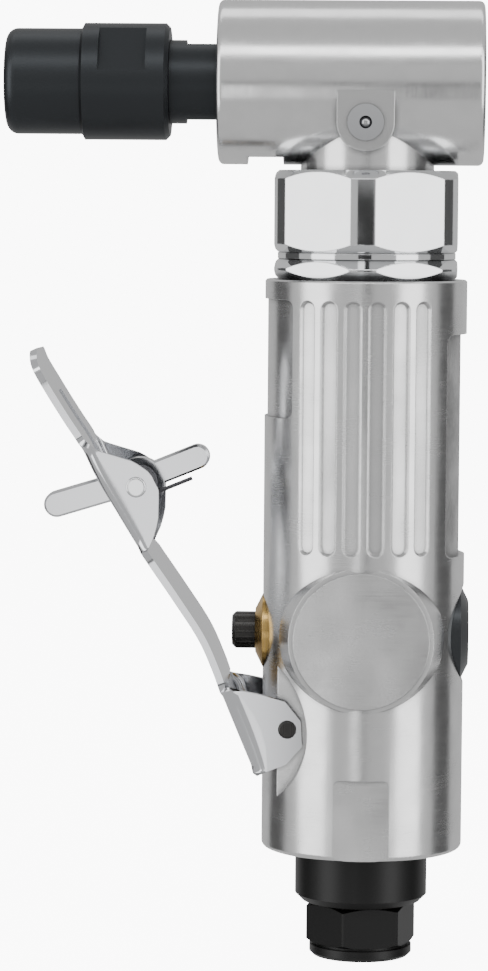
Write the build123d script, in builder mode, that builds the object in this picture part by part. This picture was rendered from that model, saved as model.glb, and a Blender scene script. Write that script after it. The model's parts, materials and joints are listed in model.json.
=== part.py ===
"""Angle die grinder: an air tool with a vane motor, a right-angle head and a locking lever throttle.

Z runs up the motor axis from the face of the air inlet, the collet points along -X, and the lever
hangs on the -X side of the barrel. All sizes are in millimetres.
"""

from build123d import *
import os
from math import cos, hypot, pi, radians, sin, sqrt, tan

os.makedirs("parts", exist_ok=True)

# ---------------------------------------------------------------- driving dimensions

# Barrel
barrel_r = 17.6
barrel_bottom_z = 19.3
barrel_top_z = 119.0
barrel_bottom_round = 0.9
barrel_top_chamfer = 0.3
head_rise = 34.0
thread_relief = 1.0
motor_bore_r = 14.8
motor_floor_z = 68.0

# Grip flutes on the front and the back of the barrel
flute_count = 6
flute_pitch = 13.8
flute_floor_width = 2.3
flute_depth = 0.7
flute_draft = 32.0
flute_bottom_z = 72.4

# Thumb pocket on the lever side and label recess on the other side
thumb_pocket_depth = 0.5
label_recess_bottom_z = 71.2
label_recess_depth = 1.05
pocket_corner_r = 1.3

# Round flat discs cast on the front and the back, and the flats for a vice below them
disc_x = -0.2
disc_z = 57.5
disc_r = 11.7
disc_step = 0.3
disc_shelf_r = 12.5
disc_root_r = 14.2
disc_root_y = 11.5
vice_flat_width = 9.6
vice_flat_top_z = 33.4
vice_flat_corner_r = 1.2

# Lever hinge in the barrel: a tongue between two side pockets
tongue_half_width = 9.8
hinge_pocket_r = 15.0
hinge_z = 41.3
hinge_pin_r = 1.5
hinge_pin_overhang = 0.4

# Throttle valve across the barrel
valve_z = 57.3
valve_bushing_r = 6.6
valve_bushing_face_r = 3.9
valve_bushing_inner_x = -8.0
valve_port_r = 2.4
valve_chamber_r = 5.2
button_r = 3.2
button_chamfer = 0.6
valve_stem_r = 1.2
valve_seal_thickness = 1.0
valve_head_thickness = 1.2
valve_head_r = 3.9
feed_r = 1.8
feed_groove_depth = 0.9

# Speed regulator opposite the throttle
regulator_bore_r = 8.7
regulator_bore_floor_x = 11.8
regulator_face_r = 5.6
regulator_spigot_x = 2.0
regulator_slot_width = 1.4
regulator_slot_depth = 1.6
regulator_ring_x = 13.3
regulator_ring_wire_r = 0.4
regulator_oring_x = 9.2
regulator_oring_wire_r = 0.6
spring_pocket_r = 3.8
spring_pocket_depth = 2.5
valve_spring_r = 3.0
valve_spring_wire_r = 0.3
valve_spring_turns = 6

# Air inlet below the barrel
inlet_lip_r = 9.0
inlet_lip_height = 1.9
inlet_groove_r = 8.3
inlet_groove_height = 0.5
inlet_hex_across_flats = 17.0
inlet_hex_turn = 12.0
inlet_hex_top_z = 9.3
inlet_shoulder_r = 8.3
inlet_shank_r = 7.0
inlet_shank_top_z = 29.5
inlet_thread_r = 5.7
inlet_thread_length = 10.0
air_passage_r = 4.5
screen_z = 12.0
screen_thickness = 0.7
screen_hole_r = 0.35
screen_hole_pitch = 1.15
screen_hole_rows = 6
inlet_oring_z = 21.4
inlet_oring_wire_r = 0.7

# Exhaust deflector round the inlet shank
deflector_r = 11.6
deflector_bottom_z = 9.8
deflector_floor = 1.5
deflector_wall = 1.2
deflector_chamfer = 1.2
deflector_hole_r = 0.8
deflector_hole_count = 14
silencer_height = 4.0
exhaust_y = 9.3
exhaust_r = 1.4

# Vane motor
gasket_thickness = 0.5
rear_plate_height = 6.5
front_plate_height = 7.0
motor_web = 2.0
cylinder_offset = 1.2
rotor_end_gap = 0.1
vane_count = 5
vane_thickness = 1.4
locating_pin_r = 0.75
locating_pin_depth = 3.0
plate_hole_r = 1.0
plate_hole_y = 9.6
shaft_hex_across_flats = 4.4
rotor_socket_rise = 9.0
rotor_socket_depth = 11.0
pinion_tail_length = 8.0
plate_step = 0.6

# Bearings: bore radius, outer radius, width, ball radius
motor_rear_bearing_size = (3.0, 6.5, 5.0, 0.95)
motor_front_bearing_size = (4.0, 8.0, 5.0, 1.2)
pinion_bearing_size = (4.0, 8.0, 5.0, 1.2)
spindle_front_bearing_size = (5.0, 11.0, 6.0, 1.6)
spindle_rear_bearing_size = (3.5, 9.5, 6.0, 1.6)

# Coupling between barrel and head
lock_ring_height = 3.6
lock_ring_turned_r = 17.0
lock_ring_chamfer_height = 1.6
coupling_turned_r = 17.1
coupling_across_flats = 31.5
coupling_turn = -2.0
coupling_neck_r = 15.5
coupling_neck_height = 1.0
coupling_engagement = 11.0
coupling_hex_height = 14.3
coupling_chamfer_r = 15.3
coupling_chamfer_angle = 40.0

# Right-angle head
head_r = 14.24
head_left_x = -25.9
head_right_x = 20.1
head_edge_round = 1.0
head_notch_left_x = -17.7
head_notch_right_x = -11.4
grease_boss_x = -0.3
grease_boss_r = 4.95
grease_boss_face_y = -14.15
grease_flange_r = 3.1
grease_flange_height = 0.3
grease_shank_r = 2.2
grease_shank_length = 4.6
grease_ball_r = 1.06
gear_chamber_r = 9.0
pinion_chamber_r = 7.4
neck_bore_r = 8.4
spindle_front_bearing_x = -21.0
spindle_rear_bearing_x = 9.9
rear_cap_face_x = 19.8
rear_cap_cavity_r = 6.2
spanner_hole_r = 0.9
cap_spanner_circle_r = 7.6
cap_spanner_depth = 1.8
cap_chamfer = 0.4
retainer_setback = 0.3
retainer_lip = 1.0
retainer_spanner_circle_r = 9.2
retainer_spanner_depth = 0.9
spindle_seal_outer_r = 8.4
spindle_seal_length = 2.6
pinion_retainer_height = 3.5
pinion_retainer_bore_r = 6.6

# Bevel gears
gear_module = 0.9
pinion_teeth = 14
gear_teeth = 18
gear_face_width = 4.0
gear_addendum = 0.8
gear_dedendum = 1.2
gear_flank_angle = 25.0
gear_backlash = 0.36

# Spindle, collet and collet nut
spindle_collar_r = 7.26
spindle_collar_left_x = -34.3
spindle_flat_left_x = -31.5
spindle_collar_right_x = -26.2
spindle_across_flats = 13.0
spindle_seal_r = 6.0
spindle_shaft_r = 4.0
spindle_step_x = -15.0
spindle_end_x = 18.4
nose_r = 6.9
nose_end_x = -56.0
collet_bore_r = 3.2
collet_mouth_r = 4.7
shank_hole_end_x = -37.0
collet_face_x = -62.6
collet_cone_x = -60.9
collet_wide_r = 5.7
collet_wide_front_x = -58.4
collet_back_r = 4.4
collet_back_x = -42.0
collet_slot_width = 0.8
collet_slot_count = 4
collet_nut_r = 10.13
collet_nut_right_x = -34.35
collet_nut_step_x = -49.2
collet_nut_front_r = 9.18
collet_nut_front_x = -62.8
collet_nut_front_round = 2.0
collet_nut_flat_left_x = -46.4
collet_nut_flat_right_x = -38.25
collet_nut_across_flats = 18.0
collet_nut_back_chamfer = 0.7
flat_cut_depth = 3.0
collet_nut_flat_tilt = 37.0
gear_nut_across_flats = 9.0
gear_nut_height = 2.3

# Throttle lever, bent from plate
lever_plate = 1.25
lever_half_width = 11.3
lever_tip_round = 6.0
catch_pin_r = 1.8
catch_slot_half_width = 2.6
catch_slot_length = 20.9

# Safety catch, a flat blade on a cross pin
catch_half_thickness = 2.0
catch_hub_r = 4.4
catch_tab_angle = 197.0
catch_tab_length = 17.5
catch_tab_half_width = 2.27
catch_leg_angle = 22.3
catch_leg_length = 13.0
catch_leg_half_width = 2.15
catch_centre_rise = 0.5
catch_spring_r = 2.6
catch_spring_wire_r = 0.35
catch_spring_pitch = 0.78
catch_spring_turns = 2
catch_spring_leg = 8.9
catch_spring_rest_leg = 9.2
catch_spring_rest_angle = -94.0

# Fits
slide_gap = 0.1
thread_gap = 0.05
race_gap = 0.04
seal_gap = 0.03
vane_gap = 0.05

# ---------------------------------------------------------------- places worked out from them

# Up the barrel
thumb_pocket_top_z = barrel_top_z - 3.4
thumb_pocket_bottom_z = thumb_pocket_top_z - 20.4
label_recess_top_z = barrel_top_z - 9.3
flute_top_z = barrel_top_z - 3.8
head_axis_z = barrel_top_z + head_rise
head_neck_bottom_z = barrel_top_z - thread_relief
head_notch_top_z = head_axis_z - 12.9
grease_boss_z = head_axis_z - 7.0
pinion_bearing_bottom_z = head_axis_z - 19.0

# Across the barrel
thumb_pocket_x = -(barrel_r - 5.1)
label_recess_x = barrel_r - 3.55
disc_face_y = barrel_r + disc_step
disc_shelf_y = barrel_r - 0.2
valve_bushing_face_x = -(barrel_r + 1.3)
valve_bushing_shoulder_x = -(barrel_r - 0.05)
button_tip_x = -(barrel_r + 5.4)
button_inner_x = -(barrel_r - 2.4)
regulator_face_x = barrel_r + 0.8
regulator_rim_x = barrel_r - 0.6
regulator_r = regulator_bore_r - 2 * slide_gap

# Lever, measured from its hinge
hinge_x = -(barrel_r - 4.7)
hinge_pocket_x = hinge_x - 11.5
hinge_pocket_z = hinge_z - 0.5
lever_ear_hole_r = hinge_pin_r + slide_gap
catch_x = hinge_x - 26.4
catch_z = hinge_z + 41.85
catch_slot_bottom_z = hinge_z + 36.1

# Inside the motor bore
motor_r = motor_bore_r - thread_gap
feed_x = -(motor_bore_r - 4.2)
cylinder_bore_r = motor_bore_r - 2.6
locating_pin_y = motor_bore_r - 1.4
rotor_r = cylinder_bore_r - 1.3
vane_height = 0.45 * rotor_r
coupling_skirt_r = motor_bore_r - 2 * thread_gap
head_neck_r = motor_bore_r - 3.2

# Inlet and collet
deflector_sleeve_r = inlet_shank_r + 1.1
shank_hole_r = collet_bore_r + 0.4

valve_plane = Plane(origin=(0, 0, valve_z), x_dir=(0, 1, 0), z_dir=(1, 0, 0))
head_plane = Plane(origin=(0, 0, head_axis_z), x_dir=(0, 1, 0), z_dir=(1, 0, 0))
valve_axis = Axis((0, 0, valve_z), (1, 0, 0))
head_axis = Axis((0, 0, head_axis_z), (1, 0, 0))

rear_plate_z = motor_floor_z + gasket_thickness
cylinder_z = rear_plate_z + rear_plate_height
motor_top_z = barrel_top_z - coupling_engagement
front_plate_z = motor_top_z - front_plate_height
cylinder_length = front_plate_z - cylinder_z
lock_ring_top_z = barrel_top_z + lock_ring_height
coupling_hex_z = lock_ring_top_z + coupling_neck_height
coupling_top_z = coupling_hex_z + coupling_hex_height
pinion_bearing_top_z = pinion_bearing_bottom_z + pinion_bearing_size[2]
deflector_top_z = barrel_bottom_z


# ---------------------------------------------------------------- repeated shapes


def turned_profile(points):
    """Closed face through corner points, with no shift to its middle."""
    Polygon(*points, align=None)


def ring_bearing(name, plane, size):
    """Ball bearing that stands on a plane: outer ring, inner ring and the balls between them."""
    bore_r, outer_r, width, ball_r = size
    pitch_r = (bore_r + outer_r) / 2
    shoulder = ball_r * 0.55
    ball_count = int(pi / (ball_r / pitch_r * 1.02))
    middle = plane.offset(width / 2)

    with BuildPart() as outer_ring:
        with BuildSketch(plane):
            Circle(outer_r)
            Circle(pitch_r + shoulder, mode=Mode.SUBTRACT)
        extrude(amount=width)
        with Locations(middle):
            Torus(pitch_r, ball_r + race_gap, mode=Mode.SUBTRACT)
    outer_ring.part.label = f"{name}_outer"
    export_step(outer_ring.part, f"parts/{name}_outer.step")

    with BuildPart() as inner_ring:
        with BuildSketch(plane):
            Circle(pitch_r - shoulder)
            Circle(bore_r, mode=Mode.SUBTRACT)
        extrude(amount=width)
        with Locations(middle):
            Torus(pitch_r, ball_r + race_gap, mode=Mode.SUBTRACT)
    inner_ring.part.label = f"{name}_inner"
    export_step(inner_ring.part, f"parts/{name}_inner.step")

    with BuildPart(middle) as balls:
        with PolarLocations(pitch_r, ball_count):
            Sphere(ball_r)
    balls.part.label = f"{name}_balls"
    export_step(balls.part, f"parts/{name}_balls.step")


def round_ring(plane, ring_r, wire_r):
    """Ring of round wire or rubber, centred on a plane."""
    with BuildPart(plane) as ring:
        Torus(ring_r, wire_r)
    return ring


def bevel_gear_blank(plane, teeth, mate_teeth, first_angle, back_points):
    """Straight bevel gear whose cones meet at the plane's origin, with its teeth below the plane."""
    pitch_r = gear_module * teeth / 2
    pitch_depth = gear_module * mate_teeth / 2
    cone_length = hypot(pitch_r, pitch_depth)
    out = Vector(pitch_r, 0, -pitch_depth) / cone_length
    rise = Vector(pitch_depth, 0, pitch_r) / cone_length
    inner = (cone_length - gear_face_width) / cone_length
    depth = gear_dedendum * gear_module
    root_outer = out * cone_length - rise * depth
    root_inner = root_outer * inner

    def tooth_section(scale):
        """Plane across a tooth and the corner points of its section there."""
        half = (pi * gear_module - gear_backlash) / 4
        slope = tan(radians(gear_flank_angle))
        tip = gear_addendum * gear_module
        root = depth + 0.15
        across = Plane(origin=out * cone_length * scale, x_dir=(0, 1, 0), z_dir=out)
        side = 1 if across.y_dir.dot(rise) > 0 else -1
        corners = (
            (-half - root * slope, -root * side),
            (-half + tip * slope, tip * side),
            (half - tip * slope, tip * side),
            (half + root * slope, -root * side),
        )
        return across, [(x * scale, y * scale) for x, y in corners]

    with BuildPart(mode=Mode.PRIVATE) as tooth:
        for scale in (inner, 1.0):
            across, corners = tooth_section(scale)
            with BuildSketch(across):
                with BuildLine():
                    Polyline(*corners, close=True)
                make_face()
        loft(ruled=True)

    with BuildPart() as blank:
        with BuildSketch(Plane.XZ):
            turned_profile(
                [
                    (0, root_inner.Z),
                    (root_inner.X, root_inner.Z),
                    (root_outer.X, root_outer.Z),
                    *back_points,
                ]
            )
        revolve(axis=Axis.Z)
        for index in range(teeth):
            add(tooth.part.rotate(Axis.Z, first_angle + index * 360 / teeth))
    return plane.location * blank.part


# ---------------------------------------------------------------- barrel

with BuildPart() as thumb_pocket:
    with BuildSketch(Plane.XZ.offset(-barrel_r)):
        pocket_height = thumb_pocket_top_z - thumb_pocket_bottom_z
        with Locations((thumb_pocket_x, thumb_pocket_bottom_z)):
            Rectangle(barrel_r, pocket_height, align=(Align.MAX, Align.MIN))
        fillet(vertices().group_by(Axis.X)[-1], pocket_corner_r)
    extrude(amount=2 * barrel_r)
    with BuildSketch(Plane.XY):
        Circle(barrel_r - thumb_pocket_depth)
    extrude(amount=barrel_top_z, mode=Mode.SUBTRACT)

with BuildPart() as label_recess:
    with BuildSketch(Plane.XZ.offset(-barrel_r)):
        with Locations((label_recess_x, label_recess_bottom_z)):
            Rectangle(
                barrel_r,
                label_recess_top_z - label_recess_bottom_z,
                align=(Align.MIN, Align.MIN),
            )
        fillet(vertices().group_by(Axis.X)[0], pocket_corner_r)
    extrude(amount=2 * barrel_r)
    with BuildSketch(Plane.XY):
        Circle(barrel_r - label_recess_depth)
    extrude(amount=barrel_top_z, mode=Mode.SUBTRACT)

with BuildPart() as body_housing:
    with BuildSketch(Plane.XY.offset(barrel_bottom_z)):
        Circle(barrel_r)
    extrude(amount=barrel_top_z - barrel_bottom_z)
    fillet(edges().group_by(Axis.Z)[0], barrel_bottom_round)
    chamfer(edges().group_by(Axis.Z)[-1], barrel_top_chamfer)

    # Cast discs, the same on both sides of the barrel
    with BuildSketch(Plane(origin=(disc_x, 0, disc_z), x_dir=(1, 0, 0), z_dir=(0, 0, 1))):
        turned_profile(
            [
                (0, -disc_face_y),
                (disc_r, -disc_face_y),
                (disc_r, -disc_face_y + disc_step),
                (disc_shelf_r, -disc_shelf_y),
                (disc_root_r, -disc_root_y),
                (disc_root_r, disc_root_y),
                (disc_shelf_r, disc_shelf_y),
                (disc_r, disc_face_y - disc_step),
                (disc_r, disc_face_y),
                (0, disc_face_y),
            ]
        )
    revolve(axis=Axis((disc_x, 0, disc_z), (0, 1, 0)))

    # Grip flutes
    for side in (-90, 90):
        for index in range(flute_count):
            angle = side + (index - (flute_count - 1) / 2) * flute_pitch
            outward = Vector(cos(radians(angle)), sin(radians(angle)), 0)
            middle_z = (flute_bottom_z + flute_top_z) / 2
            floor = outward * (barrel_r - flute_depth) + Vector(0, 0, middle_z)
            with BuildSketch(Plane(origin=floor, x_dir=(0, 0, 1), z_dir=outward)):
                SlotOverall(flute_top_z - flute_bottom_z, flute_floor_width)
            extrude(amount=2 * flute_depth, taper=-flute_draft, mode=Mode.SUBTRACT)

    add(thumb_pocket.part, mode=Mode.SUBTRACT)
    add(label_recess.part, mode=Mode.SUBTRACT)

    # Flats for a vice, front and back
    for side in (-1, 1):
        flat_y = sqrt(barrel_r**2 - (vice_flat_width / 2) ** 2)
        with BuildSketch(Plane.XZ.offset(-side * flat_y)):
            with Locations((0, barrel_bottom_z)):
                Rectangle(
                    vice_flat_width,
                    vice_flat_top_z - barrel_bottom_z,
                    align=(Align.CENTER, Align.MIN),
                )
            fillet(vertices().group_by(Axis.Z)[-1], vice_flat_corner_r)
        extrude(amount=-side * flat_cut_depth, mode=Mode.SUBTRACT)

    # Hinge pockets on both sides of the tongue
    for side in (-1, 1):
        with BuildSketch(Plane.XZ.offset(-side * tongue_half_width)):
            with Locations((hinge_pocket_x, hinge_pocket_z)):
                Circle(hinge_pocket_r)
        extrude(amount=-side * barrel_r, mode=Mode.SUBTRACT)
    with BuildSketch(Plane.XZ):
        with Locations((hinge_x, hinge_z)):
            Circle(hinge_pin_r)
    extrude(amount=barrel_r, both=True, mode=Mode.SUBTRACT)

    # Motor bore
    with BuildSketch(Plane.XY.offset(motor_floor_z)):
        Circle(motor_bore_r)
    extrude(amount=barrel_top_z - motor_floor_z, mode=Mode.SUBTRACT)

    # Throttle bore, valve chamber and regulator bore
    with BuildSketch(valve_plane.offset(-2 * barrel_r)):
        Circle(valve_bushing_r)
    extrude(amount=2 * barrel_r + valve_bushing_inner_x, mode=Mode.SUBTRACT)
    with BuildSketch(valve_plane.offset(valve_bushing_inner_x)):
        Circle(valve_chamber_r)
    extrude(amount=regulator_bore_floor_x - valve_bushing_inner_x, mode=Mode.SUBTRACT)
    with BuildSketch(valve_plane.offset(regulator_bore_floor_x)):
        Circle(regulator_bore_r)
    extrude(amount=barrel_r, mode=Mode.SUBTRACT)
    with BuildPart(valve_plane.offset(regulator_ring_x), mode=Mode.PRIVATE) as ring_groove:
        Torus((regulator_r + regulator_bore_r) / 2, regulator_ring_wire_r + seal_gap)
    add(ring_groove.part, mode=Mode.SUBTRACT)

    # Inlet thread, air passage up to the valve, feed up to the motor and exhaust holes down
    with BuildSketch(Plane.XY.offset(barrel_bottom_z)):
        Circle(inlet_shank_r + thread_gap)
    extrude(amount=inlet_shank_top_z + slide_gap - barrel_bottom_z, mode=Mode.SUBTRACT)
    with BuildSketch(Plane.XY.offset(barrel_bottom_z)):
        Circle(air_passage_r)
    extrude(amount=valve_z - barrel_bottom_z, mode=Mode.SUBTRACT)
    with BuildSketch(Plane.XY.offset(valve_z)):
        with Locations((feed_x, 0)):
            Circle(feed_r)
    extrude(amount=motor_floor_z - valve_z, mode=Mode.SUBTRACT)
    with BuildSketch(Plane.XY.offset(barrel_bottom_z)):
        with Locations((0, exhaust_y), (0, -exhaust_y)):
            Circle(exhaust_r)
    extrude(amount=motor_floor_z - barrel_bottom_z, mode=Mode.SUBTRACT)
body_housing.part.label = "body_housing"
export_step(body_housing.part, "parts/body_housing.step")

with BuildPart() as lever_pin:
    with BuildSketch(Plane.XZ.offset(-lever_half_width - hinge_pin_overhang)):
        with Locations((hinge_x, hinge_z)):
            Circle(hinge_pin_r)
    extrude(amount=2 * (lever_half_width + hinge_pin_overhang))
    fillet(edges().filter_by(GeomType.CIRCLE), 0.3)
lever_pin.part.label = "lever_pin"
export_step(lever_pin.part, "parts/lever_pin.step")

# ---------------------------------------------------------------- air inlet and exhaust

with BuildPart() as inlet_bushing:
    with BuildSketch(Plane.XZ):
        turned_profile(
            [
                (0, 0),
                (inlet_lip_r - 0.6, 0),
                (inlet_lip_r, 0.6),
                (inlet_lip_r, inlet_lip_height),
                (inlet_groove_r, inlet_lip_height),
                (inlet_groove_r, inlet_lip_height + inlet_groove_height),
                (inlet_shoulder_r, inlet_lip_height + inlet_groove_height),
                (inlet_shoulder_r, deflector_bottom_z),
                (inlet_shank_r, deflector_bottom_z),
                (inlet_shank_r, inlet_shank_top_z - 0.5),
                (inlet_shank_r - 0.5, inlet_shank_top_z),
                (0, inlet_shank_top_z),
            ]
        )
    revolve(axis=Axis.Z)
    with BuildPart(mode=Mode.PRIVATE) as inlet_hex:
        with BuildSketch(Plane.XY.offset(inlet_lip_height + inlet_groove_height)):
            RegularPolygon(inlet_hex_across_flats / 2, 6, major_radius=False, rotation=inlet_hex_turn)
        extrude(amount=inlet_hex_top_z - inlet_lip_height - inlet_groove_height)
        hex_corner_r = inlet_hex_across_flats / sqrt(3)
        with BuildSketch(Plane.XZ):
            turned_profile(
                [
                    (0, inlet_lip_height),
                    (hex_corner_r - 0.9, inlet_lip_height + inlet_groove_height),
                    (hex_corner_r - 0.1, inlet_lip_height + inlet_groove_height + 0.5),
                    (hex_corner_r - 0.1, inlet_hex_top_z - 0.6),
                    (hex_corner_r - 1.3, inlet_hex_top_z),
                    (0, inlet_hex_top_z),
                ]
            )
        revolve(axis=Axis.Z, mode=Mode.INTERSECT)
    add(inlet_hex.part)
    with BuildSketch(Plane.XY):
        Circle(inlet_thread_r)
    extrude(amount=inlet_thread_length, mode=Mode.SUBTRACT)
    with BuildSketch(Plane.XY):
        Circle(air_passage_r)
    extrude(amount=inlet_shank_top_z, mode=Mode.SUBTRACT)
    with BuildSketch(Plane.XY.offset(inlet_oring_z - inlet_oring_wire_r)):
        Circle(inlet_shank_r + 1)
        Circle(inlet_shank_r - 2 * inlet_oring_wire_r, mode=Mode.SUBTRACT)
    extrude(amount=2 * inlet_oring_wire_r, mode=Mode.SUBTRACT)
inlet_bushing.part.label = "inlet_bushing"
export_step(inlet_bushing.part, "parts/inlet_bushing.step")

inlet_oring_r = inlet_shank_r - inlet_oring_wire_r
inlet_oring = round_ring(Plane.XY.offset(inlet_oring_z), inlet_oring_r, inlet_oring_wire_r)
inlet_oring.part.label = "inlet_oring"
export_step(inlet_oring.part, "parts/inlet_oring.step")

with BuildPart() as inlet_screen:
    with BuildSketch(Plane.XY.offset(screen_z)):
        Circle(air_passage_r)
        with GridLocations(
            screen_hole_pitch, screen_hole_pitch, screen_hole_rows, screen_hole_rows
        ):
            Circle(screen_hole_r, mode=Mode.SUBTRACT)
    extrude(amount=screen_thickness)
inlet_screen.part.label = "inlet_screen"
export_step(inlet_screen.part, "parts/inlet_screen.step")

with BuildPart() as exhaust_deflector:
    with BuildSketch(Plane.XY.offset(deflector_bottom_z)):
        Circle(deflector_r)
        Circle(inlet_shank_r + slide_gap, mode=Mode.SUBTRACT)
    extrude(amount=deflector_top_z - deflector_bottom_z)
    chamfer(edges().group_by(Axis.Z)[0].sort_by(SortBy.RADIUS)[-1], deflector_chamfer)
    with BuildSketch(Plane.XY.offset(deflector_bottom_z + deflector_floor)):
        Circle(deflector_r - deflector_wall)
        Circle(deflector_sleeve_r, mode=Mode.SUBTRACT)
    extrude(amount=deflector_top_z, mode=Mode.SUBTRACT)
    with BuildSketch(Plane.XY.offset(deflector_bottom_z)):
        with PolarLocations(exhaust_y, deflector_hole_count):
            Circle(deflector_hole_r)
    extrude(amount=deflector_floor, mode=Mode.SUBTRACT)
exhaust_deflector.part.label = "exhaust_deflector"
export_step(exhaust_deflector.part, "parts/exhaust_deflector.step")

with BuildPart() as exhaust_silencer:
    with BuildSketch(Plane.XY.offset(deflector_bottom_z + deflector_floor)):
        Circle(deflector_r - deflector_wall)
        Circle(deflector_sleeve_r, mode=Mode.SUBTRACT)
    extrude(amount=silencer_height)
exhaust_silencer.part.label = "exhaust_silencer"
export_step(exhaust_silencer.part, "parts/exhaust_silencer.step")

# ---------------------------------------------------------------- throttle valve and regulator

with BuildPart() as valve_bushing:
    with BuildSketch(Plane.XZ):
        turned_profile(
            [
                (valve_bushing_face_x, valve_z),
                (valve_bushing_face_x, valve_z + valve_bushing_face_r),
                (valve_bushing_shoulder_x, valve_z + valve_bushing_r),
                (feed_x - feed_r, valve_z + valve_bushing_r),
                (feed_x - feed_r, valve_z + valve_bushing_r - feed_groove_depth),
                (feed_x + feed_r - 0.6, valve_z + valve_bushing_r - feed_groove_depth),
                (feed_x + feed_r - 0.6, valve_z + valve_bushing_r),
                (valve_bushing_inner_x, valve_z + valve_bushing_r),
                (valve_bushing_inner_x, valve_z),
            ]
        )
    revolve(axis=valve_axis)
    with BuildSketch(valve_plane.offset(valve_bushing_face_x)):
        Circle(button_r + slide_gap)
    extrude(amount=button_inner_x + 2.6 - valve_bushing_face_x, mode=Mode.SUBTRACT)
    with BuildSketch(valve_plane.offset(valve_bushing_inner_x)):
        Circle(valve_port_r)
    extrude(amount=valve_bushing_face_x, mode=Mode.SUBTRACT)
    with BuildSketch(Plane.XY.offset(valve_z)):
        with Locations((feed_x - 0.3, 0)):
            Circle(feed_r - 0.6)
    extrude(amount=valve_bushing_r, both=True, mode=Mode.SUBTRACT)
valve_bushing.part.label = "valve_bushing"
export_step(valve_bushing.part, "parts/valve_bushing.step")

with BuildPart() as valve_stem:
    head_start_x = valve_bushing_inner_x + valve_seal_thickness
    with BuildSketch(Plane.XZ):
        turned_profile(
            [
                (button_tip_x, valve_z),
                (button_tip_x, valve_z + button_r - button_chamfer),
                (button_tip_x + button_chamfer, valve_z + button_r),
                (button_inner_x, valve_z + button_r),
                (button_inner_x, valve_z + valve_stem_r),
                (head_start_x, valve_z + valve_stem_r),
                (head_start_x, valve_z + valve_head_r),
                (head_start_x + valve_head_thickness, valve_z + valve_head_r),
                (head_start_x + valve_head_thickness, valve_z + valve_spring_r - 0.6),
                (head_start_x + 2 * valve_head_thickness, valve_z + valve_spring_r - 0.6),
                (head_start_x + 2 * valve_head_thickness, valve_z),
            ]
        )
    revolve(axis=valve_axis)
valve_stem.part.label = "valve_stem"
export_step(valve_stem.part, "parts/valve_stem.step")

with BuildPart() as valve_seal:
    with BuildSketch(valve_plane.offset(valve_bushing_inner_x)):
        Circle(valve_head_r)
        Circle(valve_stem_r, mode=Mode.SUBTRACT)
    extrude(amount=valve_seal_thickness)
valve_seal.part.label = "valve_seal"
export_step(valve_seal.part, "parts/valve_seal.step")

spring_start_x = valve_bushing_inner_x + valve_seal_thickness + valve_head_thickness
spring_end_x = regulator_spigot_x + spring_pocket_depth
spring_first = spring_start_x + valve_spring_wire_r
spring_travel = spring_end_x - spring_start_x - 2 * valve_spring_wire_r
spring_helix = Helix(spring_travel / valve_spring_turns, spring_travel, valve_spring_r)
with BuildPart() as valve_spring:
    with BuildLine() as spring_path:
        add(spring_helix.moved(valve_plane.offset(spring_first).location))
    with BuildSketch(Plane(origin=spring_path.line @ 0, z_dir=spring_path.line % 0)):
        Circle(valve_spring_wire_r)
    sweep(path=spring_path.line, is_frenet=True)
valve_spring.part.label = "valve_spring"
export_step(valve_spring.part, "parts/valve_spring.step")

with BuildPart() as regulator_knob:
    with BuildSketch(Plane.XZ):
        turned_profile(
            [
                (regulator_spigot_x, valve_z),
                (regulator_spigot_x, valve_z + valve_chamber_r - slide_gap),
                (regulator_bore_floor_x + slide_gap, valve_z + valve_chamber_r - slide_gap),
                (regulator_bore_floor_x + slide_gap, valve_z + regulator_r),
                (regulator_rim_x, valve_z + regulator_r),
                (regulator_face_x, valve_z + regulator_face_r),
                (regulator_face_x, valve_z),
            ]
        )
    revolve(axis=valve_axis)
    with BuildSketch(valve_plane.offset(regulator_spigot_x)):
        Circle(spring_pocket_r)
    extrude(amount=spring_pocket_depth, mode=Mode.SUBTRACT)
    with BuildSketch(valve_plane.offset(regulator_spigot_x)):
        with Locations((0, -valve_chamber_r)):
            Rectangle(3 * valve_chamber_r, 1.2 * valve_chamber_r)
    extrude(amount=spring_pocket_depth, mode=Mode.SUBTRACT)
    with BuildSketch(valve_plane.offset(regulator_face_x - regulator_slot_depth)):
        Rectangle(regulator_slot_width, 2 * regulator_face_r)
    extrude(amount=2 * regulator_slot_depth, mode=Mode.SUBTRACT)
    with BuildSketch(valve_plane.offset(regulator_oring_x - regulator_oring_wire_r - slide_gap)):
        Circle(valve_chamber_r)
        Circle(valve_chamber_r - 2 * regulator_oring_wire_r, mode=Mode.SUBTRACT)
    extrude(amount=2 * (regulator_oring_wire_r + slide_gap), mode=Mode.SUBTRACT)
    with BuildPart(valve_plane.offset(regulator_ring_x), mode=Mode.PRIVATE) as rim_groove:
        Torus((regulator_r + regulator_bore_r) / 2, regulator_ring_wire_r + seal_gap)
    add(rim_groove.part, mode=Mode.SUBTRACT)
regulator_knob.part.label = "regulator_knob"
export_step(regulator_knob.part, "parts/regulator_knob.step")

regulator_oring = round_ring(
    valve_plane.offset(regulator_oring_x),
    valve_chamber_r - regulator_oring_wire_r,
    regulator_oring_wire_r - seal_gap,
)
regulator_oring.part.label = "regulator_oring"
export_step(regulator_oring.part, "parts/regulator_oring.step")

with BuildPart(valve_plane.offset(regulator_ring_x)) as regulator_snap_ring:
    Torus((regulator_r + regulator_bore_r) / 2, regulator_ring_wire_r)
    with Locations((0, regulator_r, 0)):
        Box(1.2, 3.0, 3.0, mode=Mode.SUBTRACT)
regulator_snap_ring.part.label = "regulator_snap_ring"
export_step(regulator_snap_ring.part, "parts/regulator_snap_ring.step")

# ---------------------------------------------------------------- vane motor

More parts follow.
